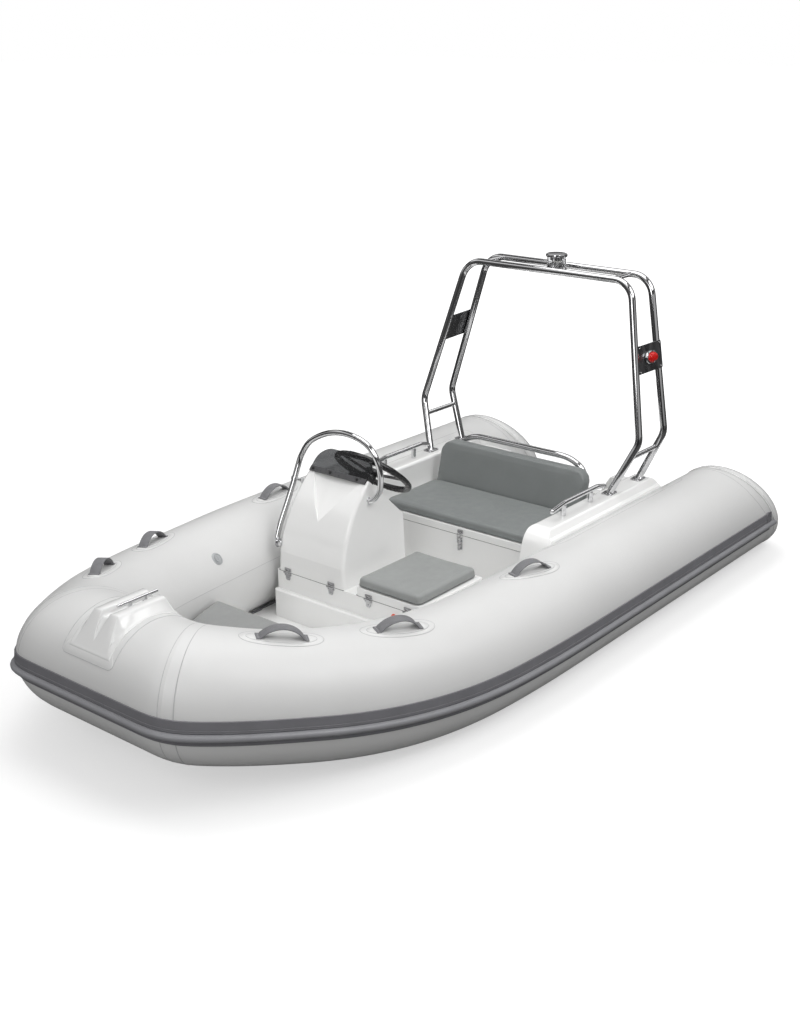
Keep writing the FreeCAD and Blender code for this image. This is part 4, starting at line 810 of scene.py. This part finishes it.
def valves():
    centre, heading, radius = tube_centre(float(np.interp(VALVE_X, CENTRES[:, 0], US)))
    out = vec(heading[1], -heading[0], 0) * cos(VALVE_ANGLE) + UP * sin(VALVE_ANGLE)
    root = centre + out * (radius - 0.0005)
    first, second, _ = across_axes(out)
    parts = [lathe(VALVE, root, out, 36)]
    for direction, other in ((first, second), (second, -first)):
        parts.append(plate(rounded_outline(0.026, 0.0032, 0.001, 2), root + out * 0.0066, direction, other, 0.0022))
    add_piece("valve_caps", both(parts), "valve", crisp=35, nodes="inflation_valves")


deck_edge()
valves()


# Cushions, swollen by simulated pressure

CLOTH = {"quality": 4, "mass": 0.3, "tension_stiffness": 20, "compression_stiffness": 20, "shear_stiffness": 10,
         "bending_stiffness": 8, "use_pressure": True}


def evaluated(obj):
    graph = bpy.context.evaluated_depsgraph_get()
    graph.update()
    return bpy.data.meshes.new_from_object(obj.evaluated_get(graph))


def points_of(mesh):
    flat = np.empty(len(mesh.vertices) * 3)
    mesh.vertices.foreach_get("co", flat)
    return flat.reshape(-1, 3)


def blow(obj, start, voxel, pressure):
    """Where cloth pressure takes the points of a shell whose underside is held."""
    settings = obj.modifiers.new("cloth", "CLOTH").settings
    for key, value in CLOTH.items():
        setattr(settings, key, value)
    settings.uniform_pressure_force = pressure
    settings.effector_weights.gravity = 0
    held = np.nonzero(np.abs(start[:, 2] - start[:, 2].min()) < voxel * 0.8)[0]
    obj.vertex_groups.new(name="rest").add([int(i) for i in held], 1.0, "REPLACE")
    settings.vertex_group_mass = "rest"
    for step in range(1, 21):
        bpy.context.scene.frame_set(step)
    blown = points_of(evaluated(obj))
    bpy.context.scene.frame_set(1)
    obj.modifiers.clear()
    obj.vertex_groups.clear()
    return blown


def swell(node, name, finish, voxel, shrink, cap, pressure):
    """Cushion for a CAD solid: shrunk, remeshed, blown up and kept within the solid's box."""
    mesh = NODES[node].data.copy()
    mesh.name = name
    mesh.transform(NODES[node].matrix_world)
    obj = link_object(name, mesh)
    low, high = box_of(node)
    middle = (low + high) / 2
    factor = 1 - 2 * shrink / (high - low)
    mesh.vertices.foreach_set("co", (middle + (points_of(mesh) - middle) * factor).ravel())
    remesh = obj.modifiers.new("remesh", "REMESH")
    remesh.mode = "VOXEL"
    remesh.voxel_size = voxel
    mesh = evaluated(obj)
    obj.modifiers.clear()
    obj.data = mesh
    points = points_of(mesh)
    move = blow(obj, points, voxel, pressure) - points
    length = np.maximum(np.linalg.norm(move, axis=1), 1e-9)
    move *= np.minimum(1.0, cap / length)[:, None]
    edges = np.empty(len(mesh.edges) * 2, dtype=np.int64)
    mesh.edges.foreach_get("vertices", edges)
    first, second = edges.reshape(-1, 2).T
    count = np.bincount(np.concatenate([first, second]), minlength=len(move)).astype(float)[:, None]
    for _ in range(12):
        total = np.zeros_like(move)
        np.add.at(total, first, move[second])
        np.add.at(total, second, move[first])
        move = move * 0.4 + total / count * 0.6
    points = points + move
    points = np.clip(points, low + 0.0002, high - 0.0002)
    mesh.vertices.foreach_set("co", points.ravel())
    mesh.update()
    for polygon in mesh.polygons:
        polygon.use_smooth = True
    smooth = obj.modifiers.new("subdivision", "SUBSURF")
    smooth.levels = smooth.render_levels = 1
    mesh = evaluated(obj)
    obj.modifiers.clear()
    obj.data = mesh
    mesh.materials.clear()
    mesh.materials.append(M[finish])
    return obj


def settle(obj, node, body):
    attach(obj, body)
    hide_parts(node)


def welt_round(obj, node, share, lift):
    """Path round a cushion at a share of its height, found by looking at it from outside."""
    tree = BVHTree.FromPolygons([v.co for v in obj.data.vertices], [p.vertices for p in obj.data.polygons])
    low, high = box_of(node)
    middle, half = (low + high) / 2, (high - low) / 2
    path = []
    for a in circle(180):
        direction = vec(cos(a), sin(a), 0)
        reach = min(half[0] / max(abs(direction[0]), 1e-6), half[1] / max(abs(direction[1]), 1e-6))
        start = vec(middle[0], middle[1], low[2] + (high[2] - low[2]) * share) + direction * (reach + 0.1)
        hit = tree.ray_cast(Vector(start), Vector(-direction))[0]
        if hit is not None:
            path.append(np.array(hit) + direction * lift)
    return path


for node, name, body, finish, cap in (("bench_cushion", "bench_seat_cushion", "bench_seat", "bench_vinyl", 0.006),
                                      ("jockey_cushion", "jockey_seat_cushion", "jockey_seat", "cushion", 0.005)):
    obj = swell(node, name, finish, 0.005, 0.0025, cap, 4.0)
    path = welt_round(obj, node, 0.16, -0.0002)
    settle(obj, node, body)
    add_piece(name + "_welt", [pipe(path, 0.0016, closed=True)], "welt", body)
settle(swell("bow_pad", "bow_cushion", "pad", 0.006, 0.002, 0.004, 2.5), "bow_pad", "boat")
settle(swell("backrest", "bench_back_cushion", "bench_vinyl", 0.006, 0.003, 0.007, 4.0), "backrest", "bench_seat")


# Steering wheel

WHEEL = vec(1.181, -0.24, 0.625)
RIM_R, SPOKE_IN, SPOKE_OUT, SLOT_IN, SLOT_OUT = 0.171, 0.026, 0.165, 0.062, 0.14
RAKE = radians(40.4)
WHEEL_AXIS = vec(-sin(RAKE), 0, cos(RAKE))
WHEEL_X = vec(cos(RAKE), 0, sin(RAKE))
HUB = [(33, -12.8), (34, -8), (34, 2), (31, 6.5), (24, 9), (23.5, 7.8), (22.5, 7.8), (22, 10.5), (10, 12.5)]


def wheel_place(radius, angle, height):
    return WHEEL + (WHEEL_X * cos(angle) + PORT * sin(angle)) * radius + WHEEL_AXIS * height


def wheel_rim():
    """Rim with three ribbed grips between the spokes."""
    rows = []
    for turn in circle(192):
        grip = 1 if 0.5 + 0.5 * cos(3 * (turn - pi / 2)) < 0.72 else 0
        row = []
        for side in circle(16):
            reach = 0.0128 + 0.0012 * grip + 0.0005 * grip * cos(48 * turn) * max(0.0, -sin(side))
            row.append(wheel_place(RIM_R + reach * cos(side), turn, reach * 1.02 * sin(side)))
        rows.append(row)
    return grid(rows, close_rows=True)


def wheel_spoke(turn):
    """Flat spoke with a slot, dished down towards the hub."""
    outer, inner = [], []
    for sign in (1, -1):
        for share in np.linspace(0, 1, 10)[::sign]:
            half = 0.0135 - 0.0028 * sin(pi * share) + 0.002 * share
            outer.append((SPOKE_IN + (SPOKE_OUT - SPOKE_IN) * share, sign * half))
            half = 0.0052 * sin(pi * min(0.97, max(0.03, share))) ** 0.4
            inner.append((SLOT_IN + (SLOT_OUT - SLOT_IN) * share, sign * half))
    rows = []
    for outline, lift in ((inner, -0.0032), (outer, -0.0032), (outer, 0.0022), (inner, 0.0032)):
        rows.append([])
        for radius, side in outline:
            dish = -0.01 * max(0.0, 1 - radius / SPOKE_OUT) ** 0.8
            rows[-1].append(wheel_place(hypot(radius, side), turn + atan2(side, radius), dish + lift))
    return grid(rows + rows[:1])


def wheel_pieces():
    spokes = [wheel_spoke(radians(90 + 120 * k)) for k in range(3)]
    add_piece("wheel_rim", [wheel_rim()], "grip", "wheel", nodes="steering_wheel")
    add_piece("wheel_spokes", spokes, "black", "wheel", crisp=40)
    add_piece("wheel_hub", [lathe(HUB, WHEEL, WHEEL_AXIS, 40)], "grip", "wheel", crisp=40)
    screws = [screw(wheel_place(0.029, radians(150 + 120 * k), 0.0072), WHEEL_AXIS, 0.0028) for k in range(3)]
    add_piece("wheel_screws", screws, "steel", "wheel")


wheel_pieces()


# Rail, screen trim and instruments on the console

SCREEN_FOOT, SCREEN_HALF = vec(1.405, -0.24, 0.676), 0.157
SCREEN_OUT, SCREEN_UP = unit([1, 0, 1]), unit([-1, 0, 1])
DASH_DOWN = unit([1.19 - 1.405, 0.0, 0.474 - 0.676])
DASH_OUT = unit([DASH_DOWN[2], 0.0, -DASH_DOWN[0]])
CLAMP, CLAMP_WAY = vec(1.4577, -0.455, 0.622), vec(-0.028, 0, 0.06)
SWITCH = vec(1.245, -0.15, 0.562)
RAIL_PATH = [(1.597, -0.414, 0.366), (1.592, -0.44, 0.374), (1.582, -0.4488, 0.394), (1.56, -0.4508, 0.44),
             (1.515, -0.453, 0.515), (1.468, -0.4548, 0.6), (1.44, -0.4548, 0.66), (1.418, -0.448, 0.718),
             (1.403, -0.411, 0.7828), (1.398, -0.33, 0.832), (1.398, -0.246, 0.855), (1.398, -0.166, 0.855),
             (1.398, -0.095, 0.834), (1.397, -0.048, 0.7916), (1.395, -0.0245, 0.7345), (1.392, -0.021, 0.6778),
             (1.394, -0.027, 0.635), (1.402, -0.045, 0.604), (1.41, -0.068, 0.589), (1.412, -0.085, 0.586)]
RAIL_JOINT = 90  # point of the smoothed path
ROSE = [(20, 0), (20, 1.5), (17, 3), (12.7, 3.5)]


def console_hoop():
    path = spline(RAIL_PATH)
    add_piece("console_hoop", [pipe(path, 0.0125, sides=24)], "steel", "console", nodes="console_rail")
    roses = [lathe(ROSE, vec(1.5955, -0.4303, 0.3685), -PORT, 32), lathe(ROSE, vec(1.4115, -0.0735, 0.5875), PORT, 32)]
    add_piece("hoop_roses", roses, "fitting", "console", crisp=40)
    ring = lathe([(12.4, -1.2), (12.9, -1), (12.9, 1), (12.4, 1.2)], path[RAIL_JOINT],
                 path[RAIL_JOINT + 1] - path[RAIL_JOINT - 1], 28)
    add_piece("hoop_joint", [ring], "black", "console", crisp=40)


def console_trim():
    foot = SCREEN_FOOT + SCREEN_OUT * 0.0063 - SCREEN_UP * 0.01
    band = plate(rounded_outline(2 * SCREEN_HALF, 0.024, 0.003, 3), foot, PORT, SCREEN_UP, 0.0022)
    add_piece("screen_band", [band], "band", "console", crisp=35)
    heads = [screw(foot + PORT * SCREEN_HALF * (2 * share - 1) + SCREEN_OUT * 0.0022, SCREEN_OUT, 0.0075)
             for share in (0.06, 0.37, 0.85)]
    add_piece("screen_screws", heads, "black", "console", crisp=50)
    pod = SCREEN_FOOT + PORT * 0.075 + DASH_DOWN * 0.052 + DASH_OUT * 0.044
    gauges = [pod - PORT * 0.023, pod + PORT * 0.023]
    rings = [lathe([(20.5, -1), (20.5, 2.2), (19.5, 3), (17.5, 3), (17.2, 1.2)], at, DASH_OUT, 32) for at in gauges]
    add_piece("gauge_rings", rings, "steel", "console", crisp=40)
    faces = [lathe([(17.2, -0.4), (17.2, 1.4)], at, DASH_OUT, 32) for at in gauges]
    add_piece("gauge_faces", faces, "dial", "console", smooth=False)
    # Stand-off between the rail and the console's side
    fittings = [pipe([CLAMP + PORT * 0.01, CLAMP + PORT * 0.047], 0.0062, sides=16),
                lathe([(12.8, -8), (14.8, -7), (14.8, 7), (12.8, 8)], CLAMP, CLAMP_WAY, 28),
                lathe([(12, 0), (11.5, 3), (8, 4)], CLAMP + PORT * 0.0475, -PORT, 24)]
    add_piece("rail_stand_off", fittings, "steel", "console", crisp=40)
    switch = lathe([(11, 0), (11, 6), (8, 10), (8, 16), (4, 18)], SWITCH, DASH_OUT)
    add_piece("stop_switch", [switch], "red", "console")


console_hoop()
console_trim()


# Painted shadow lines at the lid joints, hinges, latch and knob

HINGE_DEPTH, LEAF, LEAF_HEIGHT, LEAF_WIDTH = 0.0068, 0.0026, 0.0155, 0.038
WAIST = [(-19, -9), (-13.5, -14), (-12, -27), (-7, -32), (7, -32), (12, -27), (13.5, -14), (19, -9), (19, 0), (-19, 0)]
KNUCKLE = [(3.8, 0), (4.5, 0.6), (4.5, 6.6), (3.8, 7.2)]
LATCH = vec(0.91, 0.045, 0.0)


def painted_lid_shadow_line(node, z, walls):
    """Dark strip along some walls of a box where a lid meets it: painted shadow in the lid's joint."""
    low, high = box_of(node)
    ends = {"front": ((high[0], low[1]), (high[0], high[1]), BOW), "back": ((low[0], low[1]), (low[0], high[1]), -BOW),
            "starboard": ((low[0], low[1]), (high[0], low[1]), -PORT)}
    parts = []
    for wall in walls:
        start, end, out = ends[wall]
        start, end = vec(*start, z), vec(*end, z)
        along = unit(end - start) * 0.004
        parts.append(loft([[p - out * 0.002 + UP * 0.0011, p + out * 0.0006 + UP * 0.0009,
                            p + out * 0.0006 - UP * 0.0009, p - out * 0.002 - UP * 0.0011]
                           for p in (start + along, end - along)]))
    return parts


def hinge(wall_x, facing, z, y):
    """Pressed hinge: wide upper leaf, knuckles and a waisted lower leaf with its screws."""
    out = BOW * facing
    side = np.cross(UP, out)
    root = vec(wall_x + facing * 0.0004, y, z)
    face, middle = root + out * LEAF, UP * (0.0045 + LEAF_HEIGHT / 2)
    upper = [plate(rounded_outline(LEAF_WIDTH, LEAF_HEIGHT, 0.003), root + middle, side, UP, LEAF)]
    waist = np.array(WAIST) / 1000 + [0.0, 0.0145]
    lower = [plate(waist, root - UP * 0.0185, side, UP, LEAF)]
    for k in range(5):
        start = root + out * HINGE_DEPTH + side * (-0.019 + k * 0.0077)
        (upper if k % 2 else lower).append(lathe(KNUCKLE, start, side, 16))
    lower += [screw(face + side * a - UP * b, out, 0.003) for a, b in ((-0.013, 0.009), (0.013, 0.009), (0.0, 0.025))]
    upper += [screw(face + side * a + middle, out, 0.003) for a in (-0.012, 0.012)]
    return upper, lower


def hinges():
    nodes = {"console": "console_hinges", "jockey_seat": "lid_hinges", "bench_seat": "bench_lid_hinges"}
    uppers, lowers = {body: [] for body in nodes}, []
    for body, wall_x, facing, z, ys in (("console", 1.6003, 1, 0.24515, (-0.373, -0.124)),
                                        ("jockey_seat", 1.6003, 1, 0.24515, (0.084, 0.291)),
                                        ("bench_seat", 0.3017, -1, 0.31215, (-0.3, 0.0, 0.3))):
        for y in ys:
            upper, lower = hinge(wall_x, facing, z, y)
            uppers[body] += upper
            lowers += lower
    for body, node in nodes.items():
        add_piece("hinge_uppers_" + body, uppers[body], "fitting", body, crisp=40, nodes=node)
    add_piece("hinge_lowers", lowers, "fitting", crisp=40, nodes="hinge_leaves_fixed")


def latch():
    def at(x, y, z):
        return LATCH + vec(x, y, z)

    hook = pipe([at(0.003, -0.008, 0.327), at(0.01, -0.008, 0.33), at(0.01, 0.008, 0.33), at(0.003, 0.008, 0.327)],
                0.0022)
    parts = [plate(rounded_outline(0.03, 0.02, 0.004), at(0.0003, 0, 0.3285), PORT, UP, 0.003), hook]
    parts += [screw(at(0.0033, y, 0.3285), BOW, 0.0028) for y in (-0.011, 0.011)]
    add_piece("latch_keeper", parts, "fitting", "bench_seat", crisp=40)
    half = [(0.0125, -0.0085, 0.283), (0.0135, -0.0085, 0.322), (0.0135, -0.004, 0.3265)]
    parts = [pipe([at(*p) for p in half] + [at(x, -y, z) for x, y, z in half[::-1]], 0.0016),
             lathe([(11, 0), (11, 6), (9, 9), (4, 10)], at(0.003, 0, 0.279), BOW),
             plate(rounded_outline(0.015, 0.03, 0.006), at(0.0095, 0, 0.256), PORT, UP, 0.003)]
    parts += [screw(at(0.0033, y, z), BOW, 0.0026) for y in (-0.0095, 0.0095) for z in (0.251, 0.299)]
    add_piece("latch_toggle", parts, "fitting", crisp=40)


# Painted shadow: dark strips where the lids meet their boxes
lid_shadow_strips = painted_lid_shadow_line("bench_lid", 0.3119, ("front", "back"))
lid_shadow_strips += painted_lid_shadow_line("jockey_lid", 0.2448, ("front", "starboard"))
lid_shadow_strips += painted_lid_shadow_line("console_shell", 0.2448, ("front", "starboard"))
add_piece("lid_painted_shadows", lid_shadow_strips, "painted_lid_shadow")
hinges()
latch()
KNOB = [(11.5, 0), (11.5, 3), (9, 4), (9, 10), (7.5, 11.5), (3, 12)]
add_piece("base_knob", [lathe(KNOB, vec(1.6003, 0.2196, 0.2057), BOW)], "red", crisp=40)


# Arch fittings, backrest rail and lights

FOOT_Y, FOOT_Z, POST_Y = 0.5115, 0.4785, 0.503
PLUG = [(11.1, -1), (10.6, 3), (8.5, 6.2), (4.5, 8.2)]
PLUG_PLACES = ((0.876, (0.1, 0, -0.014)), (0.446, (-0.059, 0, -0.014)))
BACK_RAIL = [(-0.3574, 0.346), (-0.3574, 0.44), (-0.356, 0.503), (-0.343, 0.543), (-0.31, 0.57),
             (-0.245, 0.59), (-0.12, 0.5915), (0.0, 0.5915)]
BEZEL = [(0.0, 0.0), (0.0, 0.007), (0.002, 0.01), (0.006, 0.0115), (0.0085, 0.01), (0.009, 0.006)]
DOME = [(0.0, 0.006), (0.0, 0.013), (0.002, 0.019), (0.006, 0.0235), (0.011, 0.0262), (0.016, 0.027)]


def arch_fittings():
    plates, bolts = [], []
    for x in (0.41, 0.15):
        plates.append(plate(rounded_outline(0.068, 0.05, 0.008), vec(x, FOOT_Y, FOOT_Z), BOW, PORT, 0.005, 0.001))
        bolts += [screw(vec(x + dx, FOOT_Y + dy, FOOT_Z + 0.005), UP, 0.005)
                  for dx in (-0.0265, 0.0265) for dy in (-0.0175, 0.0175)]
    plates += [lathe([(11.8, 0), (11.8, 46)], vec(x, POST_Y, 0.4784), UP, 28) for x in (0.783, 0.56)]
    plates += [lathe(PLUG, vec(x, POST_Y, 0.521), way) for x, way in PLUG_PLACES]
    add_piece("arch_foot_plates", both(plates), "steel", crisp=45)
    add_piece("arch_foot_bolts", both(bolts), "fitting", crisp=45)


def back_hoop():
    points = [(0.372, y, z) for y, z in BACK_RAIL] + [(0.372, -y, z) for y, z in BACK_RAIL[-2::-1]]
    add_piece("backrest_hoop", [pipe(spline(points), 0.0145, sides=24)], "steel", "bench_seat", nodes="backrest_rail")


def leg_point(side, share, ahead_share):
    """Point between the arch's upper legs."""
    front = vec(0.341, 0.6105, 0.718) + vec(-0.13, -0.1605, 0.689) * share
    rear = vec(0.112, 0.6105, 0.718) + vec(-0.074, -0.1605, 0.689) * share
    return (rear + (front - rear) * ahead_share) * vec(1, side, 1)


def nav_light(name, side, lens):
    """Side light on a dark plate between the legs."""
    ahead = unit(leg_point(side, 0.425, 1) - leg_point(side, 0.425, 0))
    out = side * unit(np.cross(leg_point(side, 0.59, 0.5) - leg_point(side, 0.425, 0.5), ahead))
    up = side * unit(np.cross(ahead, out))
    corners = [leg_point(side, share, ahead_share) + out * stand
               for share, ahead_share, stand in ((0.417, 0.93, 0.006), (0.417, -0.03, 0.0185),
                                                 (0.594, -0.03, 0.0185), (0.594, 0.93, 0.006))][::side]
    centre = sum(corners) / 4
    rows = []
    for inset, lift in ((0.0, -0.002), (0.0, 0.0012), (0.012, 0.002)):
        rows.append([])
        for k, here in enumerate(corners):
            a, b = (here + unit(corner - here) * 0.01 for corner in (corners[k - 1], corners[(k + 1) % 4]))
            for t in np.linspace(0, 1, 5):
                p = a * (1 - t) ** 2 + here * 2 * t * (1 - t) + b * t * t
                rows[-1].append(p + (centre - p) * inset + out * lift)
    add_piece("light_plate_" + name, [loft(rows)], "plate", crisp=30, nodes="light_plates" if side > 0 else "")

    def oval(length, height, profile):
        turns = [(copysign(abs(cos(t)) ** 0.75, cos(t)), copysign(abs(sin(t)) ** 0.85, sin(t))) for t in circle(48)]
        return loft([[centre + out * (0.002 + lift) + ahead * (length / 2 - inset) * x + up * (height / 2 - inset) * y
                      for x, y in turns] for inset, lift in profile])

    add_piece("side_light_bezel_" + name, [oval(0.088, 0.06, BEZEL)], "steel", crisp=45, nodes="nav_light_" + name)
    add_piece("side_light_lens_" + name, [oval(0.071, 0.043, DOME)], lens, crisp=60)
    heads = [screw(corner + (centre - corner) * 0.16 + out * 0.002, out, 0.0036) for corner in corners]
    add_piece("plate_screws_" + name, heads, "steel")


def mast_light():
    """All-round light clamped on the middle crossbar; its heights are above the water."""
    foot = vec(0.1245, 0, 0)
    base = [(44, 1395.5), (48.5, 1397.5), (48.5, 1407.5), (45.5, 1410), (42.5, 1412.5), (42.5, 1422.5)]
    lid = [(40, 1460.5), (50, 1461), (50.5, 1462.5), (50.5, 1468.5), (49, 1472.5), (44, 1474.5), (6, 1475.5)]
    ridges = [(38.5 + 1.2 * (k % 2), 1422.6 + 1.75 * k) for k in range(22)]
    core = [(24, 1422.6), (24, 1430), (13, 1433), (13, 1442), (20, 1444), (20, 1460)]
    bulb = [(12.8, 1433.5), (15, 1436), (15, 1440), (12.8, 1442.2)]
    add_piece("mast_light_base", [lathe(base, foot, UP, 48)], "steel", crisp=40, nodes="mast_light_body")
    add_piece("mast_light_lid", [lathe(lid, foot, UP, 48)], "steel", crisp=40)
    add_piece("mast_light_glass", [lathe(ridges, foot, UP, 48)], "lens_clear", nodes="mast_light_lens")
    add_piece("mast_light_core", [lathe(core, foot, UP, 32)], "black")
    add_piece("mast_light_bulb", [lathe(bulb, foot)], "bulb")
    feet = [foot + vec(cos(t), sin(t), 0) * 0.0425 for t in np.radians(range(15, 360, 60))]
    add_piece("mast_light_posts", [pipe([at + UP * 1.412, at + UP * 1.4615], 0.0024) for at in feet], "steel")


arch_fittings()
back_hoop()
nav_light("port", 1, "lens_red")
nav_light("starboard", -1, "lens_green")
mast_light()
cleat_top = box_of("bow_cleat")[0][2] + 0.0031
add_piece("cleat_screws", [screw(vec(x, y, cleat_top), UP, 0.0026) for x in (2.705, 2.775) for y in (-0.0105, 0.0105)],
          "steel")


# Stage, lights and camera

def ray_share(tree, *names):
    """1 for the named kinds of ray, else 0."""
    rays = add_node(tree, "LightPath").outputs
    value = rays[names[0]]
    for name in names[1:]:
        value = math_node(tree, "MAXIMUM", value, rays[name])
    return value


def mixed(tree, share, first, second):
    return add_node(tree, "MixShader", {0: share, 1: first, 2: second}).outputs[0]


def floor_material():
    """Pale floor: it glows white for the camera far away, and keeps the soft shadow near the boat."""
    material = bpy.data.materials.new("pale_floor")
    material.use_nodes = True
    tree = material.node_tree
    tree.nodes.clear()
    place = add_node(tree, "TexCoord").outputs["Object"]
    shift = add_node(tree, "VectorMath", {0: place, 1: (1.2, 0.0, 0.0)}, operation="SUBTRACT")
    far = add_node(tree, "VectorMath", {0: shift.outputs["Vector"]}, operation="LENGTH")
    away = math_node(tree, "DIVIDE", far.outputs["Value"], 10.0)
    glow = add_node(tree, "Emission", {"Color": ramp(tree, away, (0.2, 0.52), (0.45, 1.0))})
    lit, dull, dark = (add_node(tree, "BsdfDiffuse", {"Color": grey(v)}).outputs[0] for v in (0.55, 0.36, 0.07))
    seen = add_node(tree, "AddShader", {0: glow.outputs[0], 1: lit}).outputs[0]
    bounce = mixed(tree, ray_share(tree, "Is Glossy Ray"), dull, dark)
    result = mixed(tree, ray_share(tree, "Is Camera Ray", "Is Transmission Ray"), bounce, seen)
    add_node(tree, "OutputMaterial", {"Surface": result})
    return material


def make_stage(half=60.0):
    mesh = bpy.data.meshes.new("floor")
    mesh.from_pydata([(-half, -half, 0), (half, -half, 0), (half, half, 0), (-half, half, 0)], [], [(0, 1, 2, 3)])
    mesh.materials.append(floor_material())
    link_object("floor", mesh)


def make_world():
    """White to the camera, a soft sky for light, and a studio with dark panels in reflections."""
    world = bpy.data.worlds.new("studio")
    bpy.context.scene.world = world
    world.use_nodes = True
    tree = world.node_tree
    tree.nodes.clear()
    place = add_node(tree, "TexCoord").outputs["Generated"]
    height = add_node(tree, "SeparateXYZ", {0: place}).outputs["Z"]
    soft = ramp(tree, height, (0.0, 0.35), (0.9, 1.0))
    panels = ramp(tree, height, (0.0, 0.1), (0.12, 0.07), (0.2, 0.45), (0.27, 0.45), (0.33, 0.08), (0.46, 0.08),
                  (0.52, 0.85), (0.66, 1.0), (0.72, 0.14), (0.88, 0.12), (0.94, 0.4), (1.0, 0.55))
    angle = add_node(tree, "TexGradient", {"Vector": place}, gradient_type="RADIAL").outputs["Fac"]
    bars = ramp(tree, angle, (0.0, 1), (0.12, 1), (0.15, 0.2), (0.22, 0.2), (0.25, 1), (0.48, 1), (0.52, 0.15),
                (0.6, 0.15), (0.64, 1), (0.84, 1), (0.87, 0.25), (0.92, 1))
    tone = math_node(tree, "MULTIPLY", panels, bars)
    mirror = add_node(tree, "CombineColor", {0: tone, 1: tone, 2: tone}).outputs[0]
    light, reflected, seen = (add_node(tree, "Background", {"Color": colour, "Strength": strength}).outputs[0]
                              for colour, strength in ((soft, 0.62), (mirror, 1.0), (grey(1.0), 1.0)))
    bounce = mixed(tree, ray_share(tree, "Is Glossy Ray"), light, reflected)
    result = mixed(tree, ray_share(tree, "Is Camera Ray", "Is Transmission Ray"), bounce, seen)
    add_node(tree, "OutputWorld", {"Surface": result})


def facing(direction):
    return Vector(direction).to_track_quat("-Z", "Y").to_euler()


def area_light(name, place, target, size, power):
    data = bpy.data.lights.new(name, "AREA")
    data.shape = "RECTANGLE"
    data.size, data.size_y = size
    data.energy = power
    lamp = link_object(name, data)
    lamp.location = place
    lamp.rotation_euler = facing(Vector(target) - Vector(place))


def make_camera():
    """The photograph's view, found from the console, the arch and the collar."""
    data = bpy.data.cameras.new("photo_camera")
    data.lens = 48.07
    data.sensor_width = 36.0
    camera = link_object("photo_camera", data)
    camera.location = (5.52198, 3.41994, 2.53448)
    camera.rotation_euler = facing((-0.730438, -0.590152, -0.343776))
    bpy.context.scene.camera = camera


make_stage()
make_world()
area_light("key", (1.0, 3.6, 4.6), (1.2, 0.2, 0.2), (3.5, 2.5), 112)
area_light("top", (1.2, -0.5, 5.0), (1.2, 0.0, 0.2), (4.5, 3.5), 110)
area_light("front", (6.5, 1.5, 3.4), (1.5, 0.0, 0.3), (2.5, 2.0), 52)
make_camera()
bpy.context.scene.view_settings.view_transform = "Standard"
